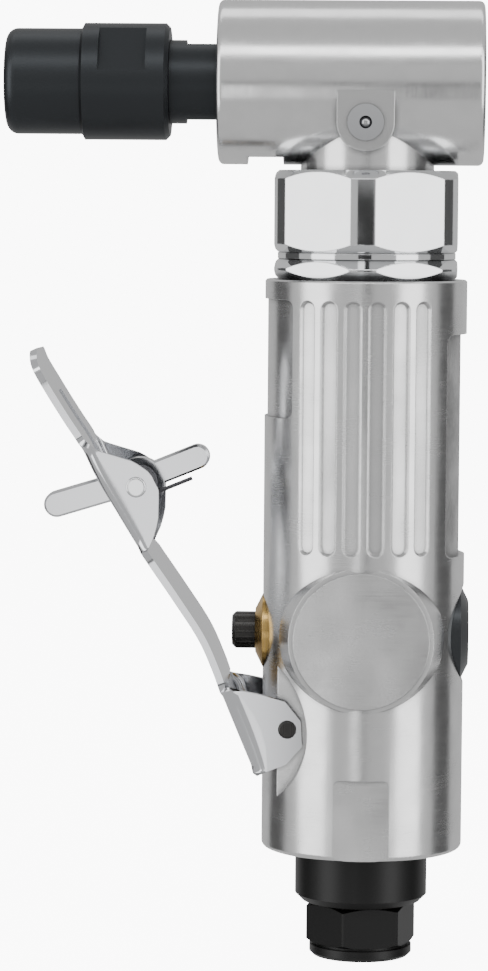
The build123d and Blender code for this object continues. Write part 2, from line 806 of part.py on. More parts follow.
with BuildPart() as motor_gasket:
    with BuildSketch(Plane.XY.offset(motor_floor_z)):
        Circle(motor_r)
        Circle(motor_rear_bearing_size[0] + 1.0, mode=Mode.SUBTRACT)
        with Locations((feed_x, 0)):
            Circle(feed_r, mode=Mode.SUBTRACT)
        with Locations((0, plate_hole_y), (0, -plate_hole_y)):
            Circle(plate_hole_r + 0.3, mode=Mode.SUBTRACT)
    extrude(amount=gasket_thickness)
motor_gasket.part.label = "motor_gasket"
export_step(motor_gasket.part, "parts/motor_gasket.step")

with BuildPart() as motor_rear_plate:
    with BuildSketch(Plane.XY.offset(rear_plate_z)):
        Circle(motor_r)
        Circle(motor_rear_bearing_size[0] + plate_step, mode=Mode.SUBTRACT)
        with Locations((feed_x, 0)):
            Circle(feed_r - 0.3, mode=Mode.SUBTRACT)
        with Locations((0, plate_hole_y), (0, -plate_hole_y)):
            Circle(plate_hole_r, mode=Mode.SUBTRACT)
    extrude(amount=rear_plate_height)
    with BuildSketch(Plane.XY.offset(rear_plate_z)):
        Circle(motor_rear_bearing_size[1])
    extrude(amount=motor_rear_bearing_size[2], mode=Mode.SUBTRACT)
    with BuildSketch(Plane.XY.offset(cylinder_z - locating_pin_depth)):
        with Locations((0, locating_pin_y)):
            Circle(locating_pin_r)
    extrude(amount=locating_pin_depth, mode=Mode.SUBTRACT)
motor_rear_plate.part.label = "motor_rear_plate"
export_step(motor_rear_plate.part, "parts/motor_rear_plate.step")

with BuildPart() as motor_cylinder:
    with BuildSketch(Plane.XY.offset(cylinder_z)):
        Circle(motor_r)
        with Locations((cylinder_offset, 0)):
            Circle(cylinder_bore_r, mode=Mode.SUBTRACT)
        with Locations((0, locating_pin_y)):
            Circle(locating_pin_r, mode=Mode.SUBTRACT)
    extrude(amount=cylinder_length)
motor_cylinder.part.label = "motor_cylinder"
export_step(motor_cylinder.part, "parts/motor_cylinder.step")

with BuildPart() as motor_front_plate:
    with BuildSketch(Plane.XY.offset(front_plate_z)):
        Circle(motor_r)
        Circle(motor_front_bearing_size[0] + plate_step, mode=Mode.SUBTRACT)
    extrude(amount=front_plate_height)
    with BuildSketch(Plane.XY.offset(front_plate_z + motor_web)):
        Circle(motor_front_bearing_size[1])
    extrude(amount=front_plate_height, mode=Mode.SUBTRACT)
    with BuildSketch(Plane.XY.offset(front_plate_z)):
        with Locations((0, locating_pin_y)):
            Circle(locating_pin_r)
    extrude(amount=locating_pin_depth, mode=Mode.SUBTRACT)
motor_front_plate.part.label = "motor_front_plate"
export_step(motor_front_plate.part, "parts/motor_front_plate.step")

with BuildPart() as locating_pin:
    with BuildSketch(Plane.XY.offset(cylinder_z - locating_pin_depth)):
        with Locations((0, locating_pin_y)):
            Circle(locating_pin_r)
    extrude(amount=cylinder_length + 2 * locating_pin_depth)
locating_pin.part.label = "locating_pin"
export_step(locating_pin.part, "parts/locating_pin.step")

rotor_bottom_z = cylinder_z + rotor_end_gap
rotor_length = cylinder_length - 2 * rotor_end_gap
rotor_socket_top_z = motor_top_z + rotor_socket_rise
with BuildPart() as rotor:
    with BuildSketch(Plane.XY.offset(rotor_bottom_z)):
        Circle(rotor_r)
    extrude(amount=rotor_length)
    with BuildSketch(Plane.XY.offset(rotor_bottom_z)):
        with PolarLocations(rotor_r, vane_count):
            Rectangle(2 * vane_height + 2 * vane_gap, vane_thickness + 2 * vane_gap)
    extrude(amount=rotor_length, mode=Mode.SUBTRACT)
    with BuildSketch(Plane.XY.offset(rear_plate_z + 0.3)):
        Circle(motor_rear_bearing_size[0])
    extrude(amount=rotor_bottom_z - rear_plate_z)
    with BuildSketch(Plane.XY.offset(rotor_bottom_z + rotor_length)):
        Circle(motor_front_bearing_size[0])
    extrude(amount=rotor_socket_top_z - rotor_bottom_z - rotor_length)
    with BuildSketch(Plane.XY.offset(rotor_socket_top_z)):
        RegularPolygon(shaft_hex_across_flats / 2 + slide_gap, 6, major_radius=False)
    extrude(amount=-rotor_socket_depth, mode=Mode.SUBTRACT)
rotor.part.label = "rotor"
export_step(rotor.part, "parts/rotor.step")

with BuildPart() as rotor_vanes:
    with BuildSketch(Plane.XY.offset(rotor_bottom_z)):
        with PolarLocations(rotor_r - vane_gap - vane_height / 2, vane_count):
            Rectangle(vane_height - vane_gap, vane_thickness)
    extrude(amount=rotor_length)
rotor_vanes.part.label = "rotor_vanes"
export_step(rotor_vanes.part, "parts/rotor_vanes.step")

ring_bearing(
    "motor_rear_bearing", Plane.XY.offset(rear_plate_z), motor_rear_bearing_size
)
ring_bearing(
    "motor_front_bearing", Plane.XY.offset(front_plate_z + motor_web), motor_front_bearing_size
)

# ---------------------------------------------------------------- coupling

with BuildPart() as lock_ring:
    with BuildSketch(Plane.XY.offset(barrel_top_z)):
        RegularPolygon(
            coupling_across_flats / 2, 6, major_radius=False, rotation=30 + coupling_turn
        )
    extrude(amount=lock_ring_height)
    with BuildSketch(Plane.XZ):
        turned_profile(
            [
                (0, barrel_top_z),
                (coupling_chamfer_r, barrel_top_z),
                (lock_ring_turned_r, barrel_top_z + lock_ring_chamfer_height),
                (lock_ring_turned_r, lock_ring_top_z - lock_ring_chamfer_height),
                (coupling_chamfer_r, lock_ring_top_z),
                (0, lock_ring_top_z),
            ]
        )
    revolve(axis=Axis.Z, mode=Mode.INTERSECT)
    with BuildSketch(Plane.XY.offset(barrel_top_z)):
        Circle(coupling_skirt_r + thread_gap)
    extrude(amount=lock_ring_height, mode=Mode.SUBTRACT)
lock_ring.part.label = "lock_ring"
export_step(lock_ring.part, "parts/lock_ring.step")

with BuildPart() as coupling_nut:
    chamfer_height = (coupling_turned_r - coupling_chamfer_r) * tan(radians(coupling_chamfer_angle))
    with BuildSketch(Plane.XY.offset(coupling_hex_z)):
        RegularPolygon(
            coupling_across_flats / 2, 6, major_radius=False, rotation=30 + coupling_turn
        )
    extrude(amount=coupling_hex_height)
    with BuildSketch(Plane.XZ):
        turned_profile(
            [
                (0, coupling_hex_z),
                (coupling_chamfer_r, coupling_hex_z),
                (coupling_turned_r, coupling_hex_z + chamfer_height),
                (coupling_turned_r, coupling_top_z - chamfer_height),
                (coupling_chamfer_r, coupling_top_z),
                (0, coupling_top_z),
            ]
        )
    revolve(axis=Axis.Z, mode=Mode.INTERSECT)
    with BuildSketch(Plane.XY.offset(motor_top_z)):
        Circle(coupling_skirt_r)
    extrude(amount=coupling_hex_z - motor_top_z)
    with BuildSketch(Plane.XY.offset(lock_ring_top_z)):
        Circle(coupling_neck_r)
    extrude(amount=coupling_neck_height)
    with BuildSketch(Plane.XY.offset(motor_top_z)):
        Circle(head_neck_r + thread_gap)
    extrude(amount=coupling_top_z - motor_top_z, mode=Mode.SUBTRACT)
coupling_nut.part.label = "coupling_nut"
export_step(coupling_nut.part, "parts/coupling_nut.step")

# ---------------------------------------------------------------- right-angle head

with BuildPart() as head_housing:
    with BuildSketch(head_plane.offset(head_left_x)):
        Circle(head_r)
    extrude(amount=head_right_x - head_left_x)
    fillet(edges().group_by(Axis.X)[0] + edges().group_by(Axis.X)[-1], head_edge_round)
    with BuildSketch(Plane.XZ.offset(-head_r)):
        with Locations((head_notch_left_x, head_axis_z - head_r)):
            Rectangle(
                head_notch_right_x - head_notch_left_x,
                2 * (head_notch_top_z - head_axis_z + head_r),
            )
    extrude(amount=2 * head_r, mode=Mode.SUBTRACT)
    with BuildSketch(Plane.XY.offset(head_neck_bottom_z)):
        Circle(head_neck_r)
    extrude(amount=head_axis_z - head_neck_bottom_z)
    with BuildSketch(Plane.XZ.offset(-grease_boss_face_y)):
        with Locations((grease_boss_x, grease_boss_z)):
            Circle(grease_boss_r)
            Rectangle(
                2 * grease_boss_r,
                head_axis_z - grease_boss_z,
                align=(Align.CENTER, Align.MIN),
            )
    extrude(amount=grease_boss_face_y * 0.5)

    # Bearing seats, gear chamber and the bore down the neck
    with BuildSketch(head_plane.offset(head_left_x)):
        Circle(spindle_front_bearing_size[1])
    seat_length = spindle_front_bearing_x + spindle_front_bearing_size[2] - head_left_x
    extrude(amount=seat_length, mode=Mode.SUBTRACT)
    with BuildSketch(head_plane.offset(head_left_x)):
        Circle(gear_chamber_r)
    extrude(amount=spindle_rear_bearing_x - head_left_x, mode=Mode.SUBTRACT)
    with BuildSketch(head_plane.offset(spindle_rear_bearing_x)):
        Circle(spindle_rear_bearing_size[1])
    extrude(amount=head_right_x - spindle_rear_bearing_x, mode=Mode.SUBTRACT)
    with BuildSketch(Plane.XY.offset(head_neck_bottom_z)):
        Circle(neck_bore_r)
    extrude(amount=pinion_bearing_bottom_z - head_neck_bottom_z, mode=Mode.SUBTRACT)
    with BuildSketch(Plane.XY.offset(pinion_bearing_bottom_z)):
        Circle(pinion_bearing_size[1])
    extrude(amount=pinion_bearing_size[2], mode=Mode.SUBTRACT)
    with BuildSketch(Plane.XY.offset(pinion_bearing_top_z)):
        Circle(pinion_chamber_r)
    extrude(amount=head_axis_z - pinion_bearing_top_z, mode=Mode.SUBTRACT)
    with BuildSketch(Plane.XZ):
        with Locations((grease_boss_x, grease_boss_z)):
            Circle(grease_shank_r)
    extrude(amount=head_r + 1, mode=Mode.SUBTRACT)
head_housing.part.label = "head_housing"
export_step(head_housing.part, "parts/head_housing.step")

with BuildPart() as grease_fitting:
    with BuildSketch(Plane.XZ.offset(-grease_boss_face_y)):
        with Locations((grease_boss_x, grease_boss_z)):
            Circle(grease_flange_r)
    extrude(amount=grease_flange_height)
    with BuildSketch(Plane.XZ.offset(-grease_boss_face_y)):
        with Locations((grease_boss_x, grease_boss_z)):
            Circle(grease_shank_r)
    extrude(amount=-grease_shank_length)
    with BuildSketch(Plane.XZ.offset(-grease_boss_face_y + grease_flange_height)):
        with Locations((grease_boss_x, grease_boss_z)):
            Circle(grease_ball_r + seal_gap)
    extrude(amount=-2.5, mode=Mode.SUBTRACT)
    with BuildSketch(Plane.XZ.offset(-grease_boss_face_y)):
        with Locations((grease_boss_x, grease_boss_z)):
            Circle(grease_ball_r * 0.6)
    extrude(amount=-grease_shank_length, mode=Mode.SUBTRACT)
grease_fitting.part.label = "grease_fitting"
export_step(grease_fitting.part, "parts/grease_fitting.step")

with BuildPart() as grease_check_ball:
    with Locations((grease_boss_x, grease_boss_face_y + 1.0, grease_boss_z)):
        Sphere(grease_ball_r)
grease_check_ball.part.label = "grease_check_ball"
export_step(grease_check_ball.part, "parts/grease_check_ball.step")

rear_cap_x = spindle_rear_bearing_x + spindle_rear_bearing_size[2]
with BuildPart() as head_rear_cap:
    with BuildSketch(head_plane.offset(rear_cap_x)):
        Circle(spindle_rear_bearing_size[1])
    extrude(amount=rear_cap_face_x - rear_cap_x)
    chamfer(edges().group_by(Axis.X)[-1], cap_chamfer)
    with BuildSketch(head_plane.offset(rear_cap_x)):
        Circle(rear_cap_cavity_r)
    extrude(amount=spindle_end_x + 0.3 - rear_cap_x, mode=Mode.SUBTRACT)
    with BuildSketch(head_plane.offset(rear_cap_face_x)):
        with PolarLocations(cap_spanner_circle_r, 2):
            Circle(spanner_hole_r)
    extrude(amount=-cap_spanner_depth, mode=Mode.SUBTRACT)
head_rear_cap.part.label = "head_rear_cap"
export_step(head_rear_cap.part, "parts/head_rear_cap.step")

retainer_x = head_left_x + retainer_setback
with BuildPart() as spindle_retainer:
    with BuildSketch(head_plane.offset(retainer_x)):
        Circle(spindle_front_bearing_size[1])
        Circle(spindle_seal_r + 0.4, mode=Mode.SUBTRACT)
    extrude(amount=spindle_front_bearing_x - retainer_x)
    with BuildSketch(head_plane.offset(retainer_x + retainer_lip)):
        Circle(spindle_seal_outer_r)
    extrude(amount=spindle_front_bearing_x - retainer_x, mode=Mode.SUBTRACT)
    with BuildSketch(head_plane.offset(retainer_x)):
        with PolarLocations(retainer_spanner_circle_r, 2):
            Circle(spanner_hole_r)
    extrude(amount=retainer_spanner_depth, mode=Mode.SUBTRACT)
spindle_retainer.part.label = "spindle_retainer"
export_step(spindle_retainer.part, "parts/spindle_retainer.step")

with BuildPart() as spindle_seal:
    with BuildSketch(head_plane.offset(retainer_x + retainer_lip)):
        Circle(spindle_seal_outer_r)
        Circle(spindle_seal_r + seal_gap, mode=Mode.SUBTRACT)
    extrude(amount=spindle_seal_length)
spindle_seal.part.label = "spindle_seal"
export_step(spindle_seal.part, "parts/spindle_seal.step")

with BuildPart() as pinion_retainer:
    with BuildSketch(Plane.XY.offset(pinion_bearing_bottom_z - pinion_retainer_height)):
        Circle(neck_bore_r)
        Circle(pinion_retainer_bore_r, mode=Mode.SUBTRACT)
    extrude(amount=pinion_retainer_height)
pinion_retainer.part.label = "pinion_retainer"
export_step(pinion_retainer.part, "parts/pinion_retainer.step")

ring_bearing("pinion_bearing", Plane.XY.offset(pinion_bearing_bottom_z), pinion_bearing_size)
ring_bearing(
    "spindle_front_bearing",
    head_plane.offset(spindle_front_bearing_x),
    spindle_front_bearing_size,
)
ring_bearing(
    "spindle_rear_bearing",
    head_plane.offset(spindle_rear_bearing_x),
    spindle_rear_bearing_size,
)

# ---------------------------------------------------------------- gears and spindle

pinion_blank = bevel_gear_blank(
    Plane.XY.offset(head_axis_z),
    pinion_teeth,
    gear_teeth,
    0.0,
    [(5.0, -9.5), (5.0, pinion_bearing_top_z - head_axis_z), (0, pinion_bearing_top_z - head_axis_z)],
)
pinion_tail_z = rotor_socket_top_z - pinion_tail_length
with BuildPart() as pinion_shaft:
    add(pinion_blank)
    with BuildSketch(Plane.XY.offset(pinion_bearing_bottom_z)):
        Circle(pinion_bearing_size[0])
    extrude(amount=pinion_bearing_size[2])
    with BuildSketch(Plane.XY.offset(rotor_socket_top_z + 0.5)):
        Circle(pinion_bearing_size[0] - 0.4)
    extrude(amount=pinion_bearing_bottom_z - rotor_socket_top_z - 0.5)
    with BuildSketch(Plane.XY.offset(pinion_tail_z)):
        RegularPolygon(shaft_hex_across_flats / 2, 6, major_radius=False)
    extrude(amount=rotor_socket_top_z + 0.5 - pinion_tail_z)
pinion_shaft.part.label = "pinion_shaft"
export_step(pinion_shaft.part, "parts/pinion_shaft.step")

gear_plane = Plane(origin=(0, 0, head_axis_z), x_dir=(0, 0, -1), z_dir=(-1, 0, 0))
gear_blank = bevel_gear_blank(
    gear_plane,
    gear_teeth,
    pinion_teeth,
    180 / gear_teeth,
    [(7.0, -8.0), (5.2, -9.2), (5.2, -spindle_rear_bearing_x), (0, -spindle_rear_bearing_x)],
)
with BuildPart() as bevel_gear:
    add(gear_blank)
    with BuildSketch(head_plane):
        Circle(spindle_rear_bearing_size[0])
    extrude(amount=spindle_rear_bearing_x, mode=Mode.SUBTRACT)
bevel_gear.part.label = "bevel_gear"
export_step(bevel_gear.part, "parts/bevel_gear.step")

gear_face_x = bevel_gear.part.faces().filter_by(GeomType.PLANE).sort_by(Axis.X)[0].center().X
with BuildPart() as spindle:
    with BuildSketch(Plane.XZ):
        turned_profile(
            [
                (nose_end_x, head_axis_z),
                (nose_end_x, head_axis_z + nose_r - 0.4),
                (nose_end_x + 0.4, head_axis_z + nose_r),
                (spindle_collar_left_x, head_axis_z + nose_r),
                (spindle_collar_left_x, head_axis_z + spindle_collar_r),
                (spindle_collar_right_x, head_axis_z + spindle_collar_r),
                (spindle_collar_right_x, head_axis_z + spindle_seal_r),
                (spindle_front_bearing_x, head_axis_z + spindle_seal_r),
                (spindle_front_bearing_x, head_axis_z + spindle_front_bearing_size[0]),
                (spindle_step_x, head_axis_z + spindle_front_bearing_size[0]),
                (spindle_step_x + 1.0, head_axis_z + spindle_shaft_r),
                (gear_face_x, head_axis_z + spindle_shaft_r),
                (gear_face_x, head_axis_z + spindle_rear_bearing_size[0]),
                (spindle_end_x, head_axis_z + spindle_rear_bearing_size[0]),
                (spindle_end_x, head_axis_z),
            ]
        )
    revolve(axis=head_axis)
    for side in (-1, 1):
        flat_z = head_axis_z + side * spindle_across_flats / 2
        with BuildSketch(Plane.XY.offset(flat_z)):
            with Locations(((spindle_flat_left_x + spindle_collar_right_x) / 2, 0)):
                Rectangle(spindle_collar_right_x - spindle_flat_left_x, 4 * spindle_collar_r)
        extrude(amount=side * flat_cut_depth, mode=Mode.SUBTRACT)
    with BuildSketch(Plane.XZ):
        turned_profile(
            [
                (nose_end_x, head_axis_z),
                (nose_end_x, head_axis_z + collet_wide_r),
                (collet_back_x, head_axis_z + collet_back_r),
                (collet_back_x, head_axis_z + shank_hole_r),
                (shank_hole_end_x, head_axis_z + shank_hole_r),
                (shank_hole_end_x + 1.0, head_axis_z),
            ]
        )
    revolve(axis=head_axis, mode=Mode.SUBTRACT)
spindle.part.label = "spindle"
export_step(spindle.part, "parts/spindle.step")

with BuildPart() as gear_nut:
    with BuildSketch(head_plane.offset(rear_cap_x)):
        RegularPolygon(gear_nut_across_flats / 2, 6, major_radius=False)
        Circle(spindle_rear_bearing_size[0], mode=Mode.SUBTRACT)
    extrude(amount=gear_nut_height)
gear_nut.part.label = "gear_nut"
export_step(gear_nut.part, "parts/gear_nut.step")

with BuildPart() as collet:
    with BuildSketch(Plane.XZ):
        turned_profile(
            [
                (collet_face_x, head_axis_z),
                (collet_face_x, head_axis_z + collet_mouth_r - 0.2),
                (collet_cone_x, head_axis_z + collet_mouth_r),
                (collet_wide_front_x, head_axis_z + collet_wide_r),
                (nose_end_x, head_axis_z + collet_wide_r),
                (collet_back_x, head_axis_z + collet_back_r),
                (collet_back_x, head_axis_z),
            ]
        )
    revolve(axis=head_axis)
    with BuildSketch(head_plane.offset(collet_face_x)):
        Circle(collet_bore_r)
    extrude(amount=collet_back_x - collet_face_x, mode=Mode.SUBTRACT)
    with BuildSketch(head_plane.offset(collet_face_x)):
        with PolarLocations(collet_bore_r + 2, collet_slot_count, start_angle=45):
            Rectangle(4.6, collet_slot_width)
    extrude(amount=0.72 * (collet_back_x - collet_face_x), mode=Mode.SUBTRACT)
collet.part.label = "collet"
export_step(collet.part, "parts/collet.step")

with BuildPart() as collet_nut:
    with BuildSketch(Plane.XZ):
        turned_profile(
            [
                (collet_nut_front_x, head_axis_z),
                (collet_nut_front_x, head_axis_z + collet_nut_front_r),
                (collet_nut_step_x - 0.5, head_axis_z + collet_nut_front_r),
                (collet_nut_step_x, head_axis_z + collet_nut_r),
                (collet_nut_right_x - collet_nut_back_chamfer, head_axis_z + collet_nut_r),
                (collet_nut_right_x, head_axis_z + collet_nut_r - collet_nut_back_chamfer),
                (collet_nut_right_x, head_axis_z),
            ]
        )
    revolve(axis=head_axis)
    fillet(edges().group_by(Axis.X)[0], collet_nut_front_round)
    for side in (-1, 1):
        tilt = radians(collet_nut_flat_tilt)
        outward = Vector(0, -cos(tilt), sin(tilt)) * side
        flat_middle_x = (collet_nut_flat_left_x + collet_nut_flat_right_x) / 2
        flat_origin = Vector(flat_middle_x, 0, head_axis_z) + outward * collet_nut_across_flats / 2
        with BuildSketch(Plane(origin=flat_origin, x_dir=(1, 0, 0), z_dir=outward)):
            Rectangle(collet_nut_flat_right_x - collet_nut_flat_left_x, 3 * collet_nut_r)
        extrude(amount=flat_cut_depth, mode=Mode.SUBTRACT)
    with BuildSketch(Plane.XZ):
        turned_profile(
            [
                (collet_nut_front_x, head_axis_z),
                (collet_nut_front_x, head_axis_z + collet_mouth_r + slide_gap),
                (collet_cone_x, head_axis_z + collet_mouth_r + slide_gap),
                (collet_wide_front_x, head_axis_z + collet_wide_r + slide_gap),
                (collet_wide_front_x + 0.6, head_axis_z + nose_r + thread_gap),
                (collet_nut_right_x, head_axis_z + nose_r + thread_gap),
                (collet_nut_right_x, head_axis_z),
            ]
        )
    revolve(axis=head_axis, mode=Mode.SUBTRACT)
collet_nut.part.label = "collet_nut"
export_step(collet_nut.part, "parts/collet_nut.step")

# ---------------------------------------------------------------- throttle lever and safety catch


def from_hinge(points):
    """Points of the lever's side view, given from the middle of its hinge pin."""
    return [(hinge_x + x, hinge_z + z) for x, z in points]


# Outside of the plate from the tip of the paddle down to the heel, seen from the front
lever_outside = from_hinge(
    [
        (-45.5, 65.0),
        (-44.7, 62.3),
        (-38.8, 52.95),
        (-36.1, 48.9),
        (-33.8, 43.6),
        (-30.4, 38.2),
        (-19.8, 22.2),
        (-15.4, 15.5),
        (-12.95, 10.6),
        (-10.9, 4.2),
        (-5.95, -7.6),
    ]
)
# Ears beyond the plate: round the hinge and round the catch pin
hinge_ear = from_hinge(
    [
        (-11.5, 6.2),
        (-10.0, 7.0),
        (-1.6, 5.4),
        (0.6, 4.3),
        (2.1, 2.1),
        (2.9, -0.3),
        (2.95, -2.1),
        (2.3, -3.7),
        (0.7, -5.6),
        (-1.9, -7.2),
        (-5.6, -8.0),
    ]
)
catch_ear = from_hinge(
    [
        (-36.1, 48.9),
        (-34.8, 48.4),
        (-26.6, 46.0),
        (-23.7, 44.0),
        (-22.4, 41.2),
        (-22.7, 35.9),
        (-24.0, 31.6),
        (-25.5, 30.8),
        (-30.4, 38.2),
    ]
)


def plate_inside(points, thickness):
    """Line that runs at the plate's thickness to the right of the outside line."""
    inside = []
    for index, (x, z) in enumerate(points):
        before = points[max(index - 1, 0)]
        after = points[min(index + 1, len(points) - 1)]
        first = Vector(x - before[0], z - before[1]) if index else Vector(after[0] - x, after[1] - z)
        last = Vector(after[0] - x, after[1] - z) if index < len(points) - 1 else first
        first = first.normalized()
        last = last.normalized()
        bisector = (Vector(-first.Y, first.X) + Vector(-last.Y, last.X)).normalized()
        reach = thickness / bisector.dot(Vector(-first.Y, first.X))
        inside.append((x + bisector.X * reach, z + bisector.Y * reach))
    return inside


with BuildPart() as lever:
    with BuildSketch(Plane.XZ.offset(-lever_half_width)):
        turned_profile([*lever_outside, *reversed(plate_inside(lever_outside, lever_plate))])
    extrude(amount=2 * lever_half_width)
    for side in (-1, 1):
        with BuildSketch(Plane.XZ.offset(-side * (lever_half_width - lever_plate))):
            turned_profile(hinge_ear)
        extrude(amount=-side * lever_plate)
        with BuildSketch(Plane.XZ.offset(-side * (lever_half_width - lever_plate))):
            turned_profile(catch_ear)
        extrude(amount=-side * lever_plate)
    with BuildSketch(Plane.XZ):
        with Locations((hinge_x, hinge_z)):
            Circle(lever_ear_hole_r)
        with Locations((catch_x, catch_z)):
            Circle(catch_pin_r)
    extrude(amount=2 * lever_half_width, both=True, mode=Mode.SUBTRACT)
    with BuildSketch(Plane.XY.offset(catch_slot_bottom_z)):
        with Locations((catch_x - 1.6, 0)):
            Rectangle(barrel_r + 4, 2 * catch_slot_half_width, align=(Align.MAX, Align.CENTER))
    extrude(amount=catch_slot_length, mode=Mode.SUBTRACT)
    tip_z = lever_outside[0][1]
    with BuildSketch(Plane.YZ.offset(2 * lever_outside[0][0])):
        with Locations((0, tip_z)):
            Rectangle(3 * lever_half_width, 2 * lever_tip_round)
        with Locations((0, tip_z - lever_half_width)):
            RectangleRounded(
                2 * lever_half_width, 2 * lever_half_width, lever_tip_round, mode=Mode.SUBTRACT
            )
    extrude(amount=-2 * lever_outside[0][0], mode=Mode.SUBTRACT)
lever.part.label = "lever"
export_step(lever.part, "parts/lever.step")

with BuildPart() as catch_pin:
    with BuildSketch(Plane.XZ.offset(-lever_half_width - hinge_pin_overhang)):
        with Locations((catch_x, catch_z)):
            Circle(catch_pin_r)
    extrude(amount=2 * (lever_half_width + hinge_pin_overhang))
    fillet(edges().filter_by(GeomType.CIRCLE), 0.4)
catch_pin.part.label = "catch_pin"
export_step(catch_pin.part, "parts/catch_pin.step")

with BuildPart() as safety_catch:
    with BuildSketch(Plane.XZ.offset(-catch_half_thickness)):
        with Locations((catch_x, catch_z)):
            Circle(catch_hub_r)
        for angle, length, half_width in (
            (catch_tab_angle, catch_tab_length, catch_tab_half_width),
            (catch_leg_angle, catch_leg_length, catch_leg_half_width),
        ):
            along = Vector(cos(radians(angle)), sin(radians(angle)))
            reach = length - half_width
            middle = Vector(catch_x, catch_z + catch_centre_rise) + along * reach / 2
            with Locations(Location((middle.X, middle.Y, 0), (0, 0, angle))):
                SlotCenterToCenter(reach, 2 * half_width)
    extrude(amount=2 * catch_half_thickness)
    flat_faces = faces().filter_by(Axis.Y)
    chamfer(flat_faces.edges().filter_by(GeomType.LINE), 0.4)
    with BuildSketch(Plane.XZ):
        with Locations((catch_x, catch_z)):
            Circle(catch_pin_r + slide_gap)
    extrude(amount=catch_half_thickness, both=True, mode=Mode.SUBTRACT)
safety_catch.part.label = "safety_catch"
export_step(safety_catch.part, "parts/safety_catch.step")

# Torsion spring: a leg along the catch, the coil round the pin, and a leg resting on the plate
spring_start_angle = catch_leg_angle - 90
spring_end_angle = catch_spring_rest_angle + 90
spring_sweep = catch_spring_turns * 360 + spring_start_angle - spring_end_angle + 360
coil_length = catch_spring_pitch * spring_sweep / 360
coil_y = -catch_half_thickness - slide_gap - catch_spring_wire_r
start_dir = Vector(cos(radians(spring_start_angle)), 0, sin(radians(spring_start_angle)))
coil_plane = Plane(origin=(catch_x, coil_y, catch_z), x_dir=start_dir, z_dir=(0, -1, 0))
coil_helix = Helix(catch_spring_pitch, coil_length, catch_spring_r, lefthand=True)
with BuildPart() as catch_spring:
    with BuildLine() as coil_path:
        add(coil_helix.moved(coil_plane.location))
    with BuildSketch(Plane(origin=coil_path.line @ 0, z_dir=coil_path.line % 0)):
        Circle(catch_spring_wire_r)
    sweep(path=coil_path.line, is_frenet=True)
    with Locations(coil_path.line @ 0, coil_path.line @ 1):
        Sphere(catch_spring_wire_r + seal_gap)
    leg_angle = radians(catch_leg_angle)
    leg_dir = Vector(cos(leg_angle), 0, sin(leg_angle))
    with BuildSketch(Plane(origin=coil_path.line @ 0, z_dir=leg_dir)):
        Circle(catch_spring_wire_r)
    extrude(amount=catch_spring_leg)
    rest_angle = radians(catch_spring_rest_angle)
    rest_dir = Vector(cos(rest_angle), 0, sin(rest_angle))
    with BuildSketch(Plane(origin=coil_path.line @ 1, z_dir=rest_dir)):
        Circle(catch_spring_wire_r)
    extrude(amount=catch_spring_rest_leg)
catch_spring.part.label = "catch_spring"
export_step(catch_spring.part, "parts/catch_spring.step")
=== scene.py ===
"""Dresses the angle die grinder: finishes, bent lever, ribbed valve button, studio and camera.

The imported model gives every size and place. Each sub-assembly is a class that takes its CAD nodes
from the frame, rounds their edges, gives them their finish and adds the pieces that only show.
"""

from __future__ import annotations

import json
import logging
import math
from dataclasses import dataclass, field
from enum import Enum

import bmesh
import bpy
from mathutils import Euler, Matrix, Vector

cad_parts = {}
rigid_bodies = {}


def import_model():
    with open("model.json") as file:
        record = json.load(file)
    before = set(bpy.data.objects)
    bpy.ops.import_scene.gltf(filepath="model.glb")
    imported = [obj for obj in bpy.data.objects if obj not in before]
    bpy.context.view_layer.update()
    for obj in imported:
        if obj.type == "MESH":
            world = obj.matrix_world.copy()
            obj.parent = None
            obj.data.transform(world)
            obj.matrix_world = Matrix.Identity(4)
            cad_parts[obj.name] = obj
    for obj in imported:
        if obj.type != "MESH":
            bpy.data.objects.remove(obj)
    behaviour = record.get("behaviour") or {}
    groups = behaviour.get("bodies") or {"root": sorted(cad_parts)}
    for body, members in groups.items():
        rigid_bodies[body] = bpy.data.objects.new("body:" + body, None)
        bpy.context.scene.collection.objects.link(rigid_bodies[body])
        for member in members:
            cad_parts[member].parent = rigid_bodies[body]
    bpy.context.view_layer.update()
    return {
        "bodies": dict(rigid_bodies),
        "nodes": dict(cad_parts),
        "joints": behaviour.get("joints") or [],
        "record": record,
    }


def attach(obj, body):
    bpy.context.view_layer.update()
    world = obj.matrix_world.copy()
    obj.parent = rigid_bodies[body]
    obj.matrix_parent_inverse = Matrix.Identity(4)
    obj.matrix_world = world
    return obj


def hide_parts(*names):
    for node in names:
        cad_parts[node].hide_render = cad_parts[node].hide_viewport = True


LOG = logging.getLogger("die_grinder")
MM = 0.001

GRAIN_DETAIL = 3.0
CLOUD_DETAIL = 5.0
PIT_DETAIL = 2.0
WAVE_DETAIL = 1.0
GRAIN_DEPTH_MM = 0.02
PIT_DEPTH_MM = 0.08
WAVE_DEPTH_MM = 1.0
# Samples and window of the painted shade in creases.
CREASE_SAMPLES = 6
CREASE_WINDOW = (0.55, 0.97)
EDGE_SAMPLES = 4
ROUND_SEGMENTS = 2
ROUND_ANGLE = math.radians(35)
SHARP_ANGLE = math.radians(40)


class Grain(Enum):
    """Direction in which a finish was ground or rolled, as a stretch of the noise on X, Y and Z."""

    NONE = (1.0, 1.0, 1.0)
    ROUND_Z = (0.035, 0.035, 1.0)
    ROUND_X = (1.0, 0.035, 0.035)
    ALONG_Z = (1.0, 1.0, 0.03)


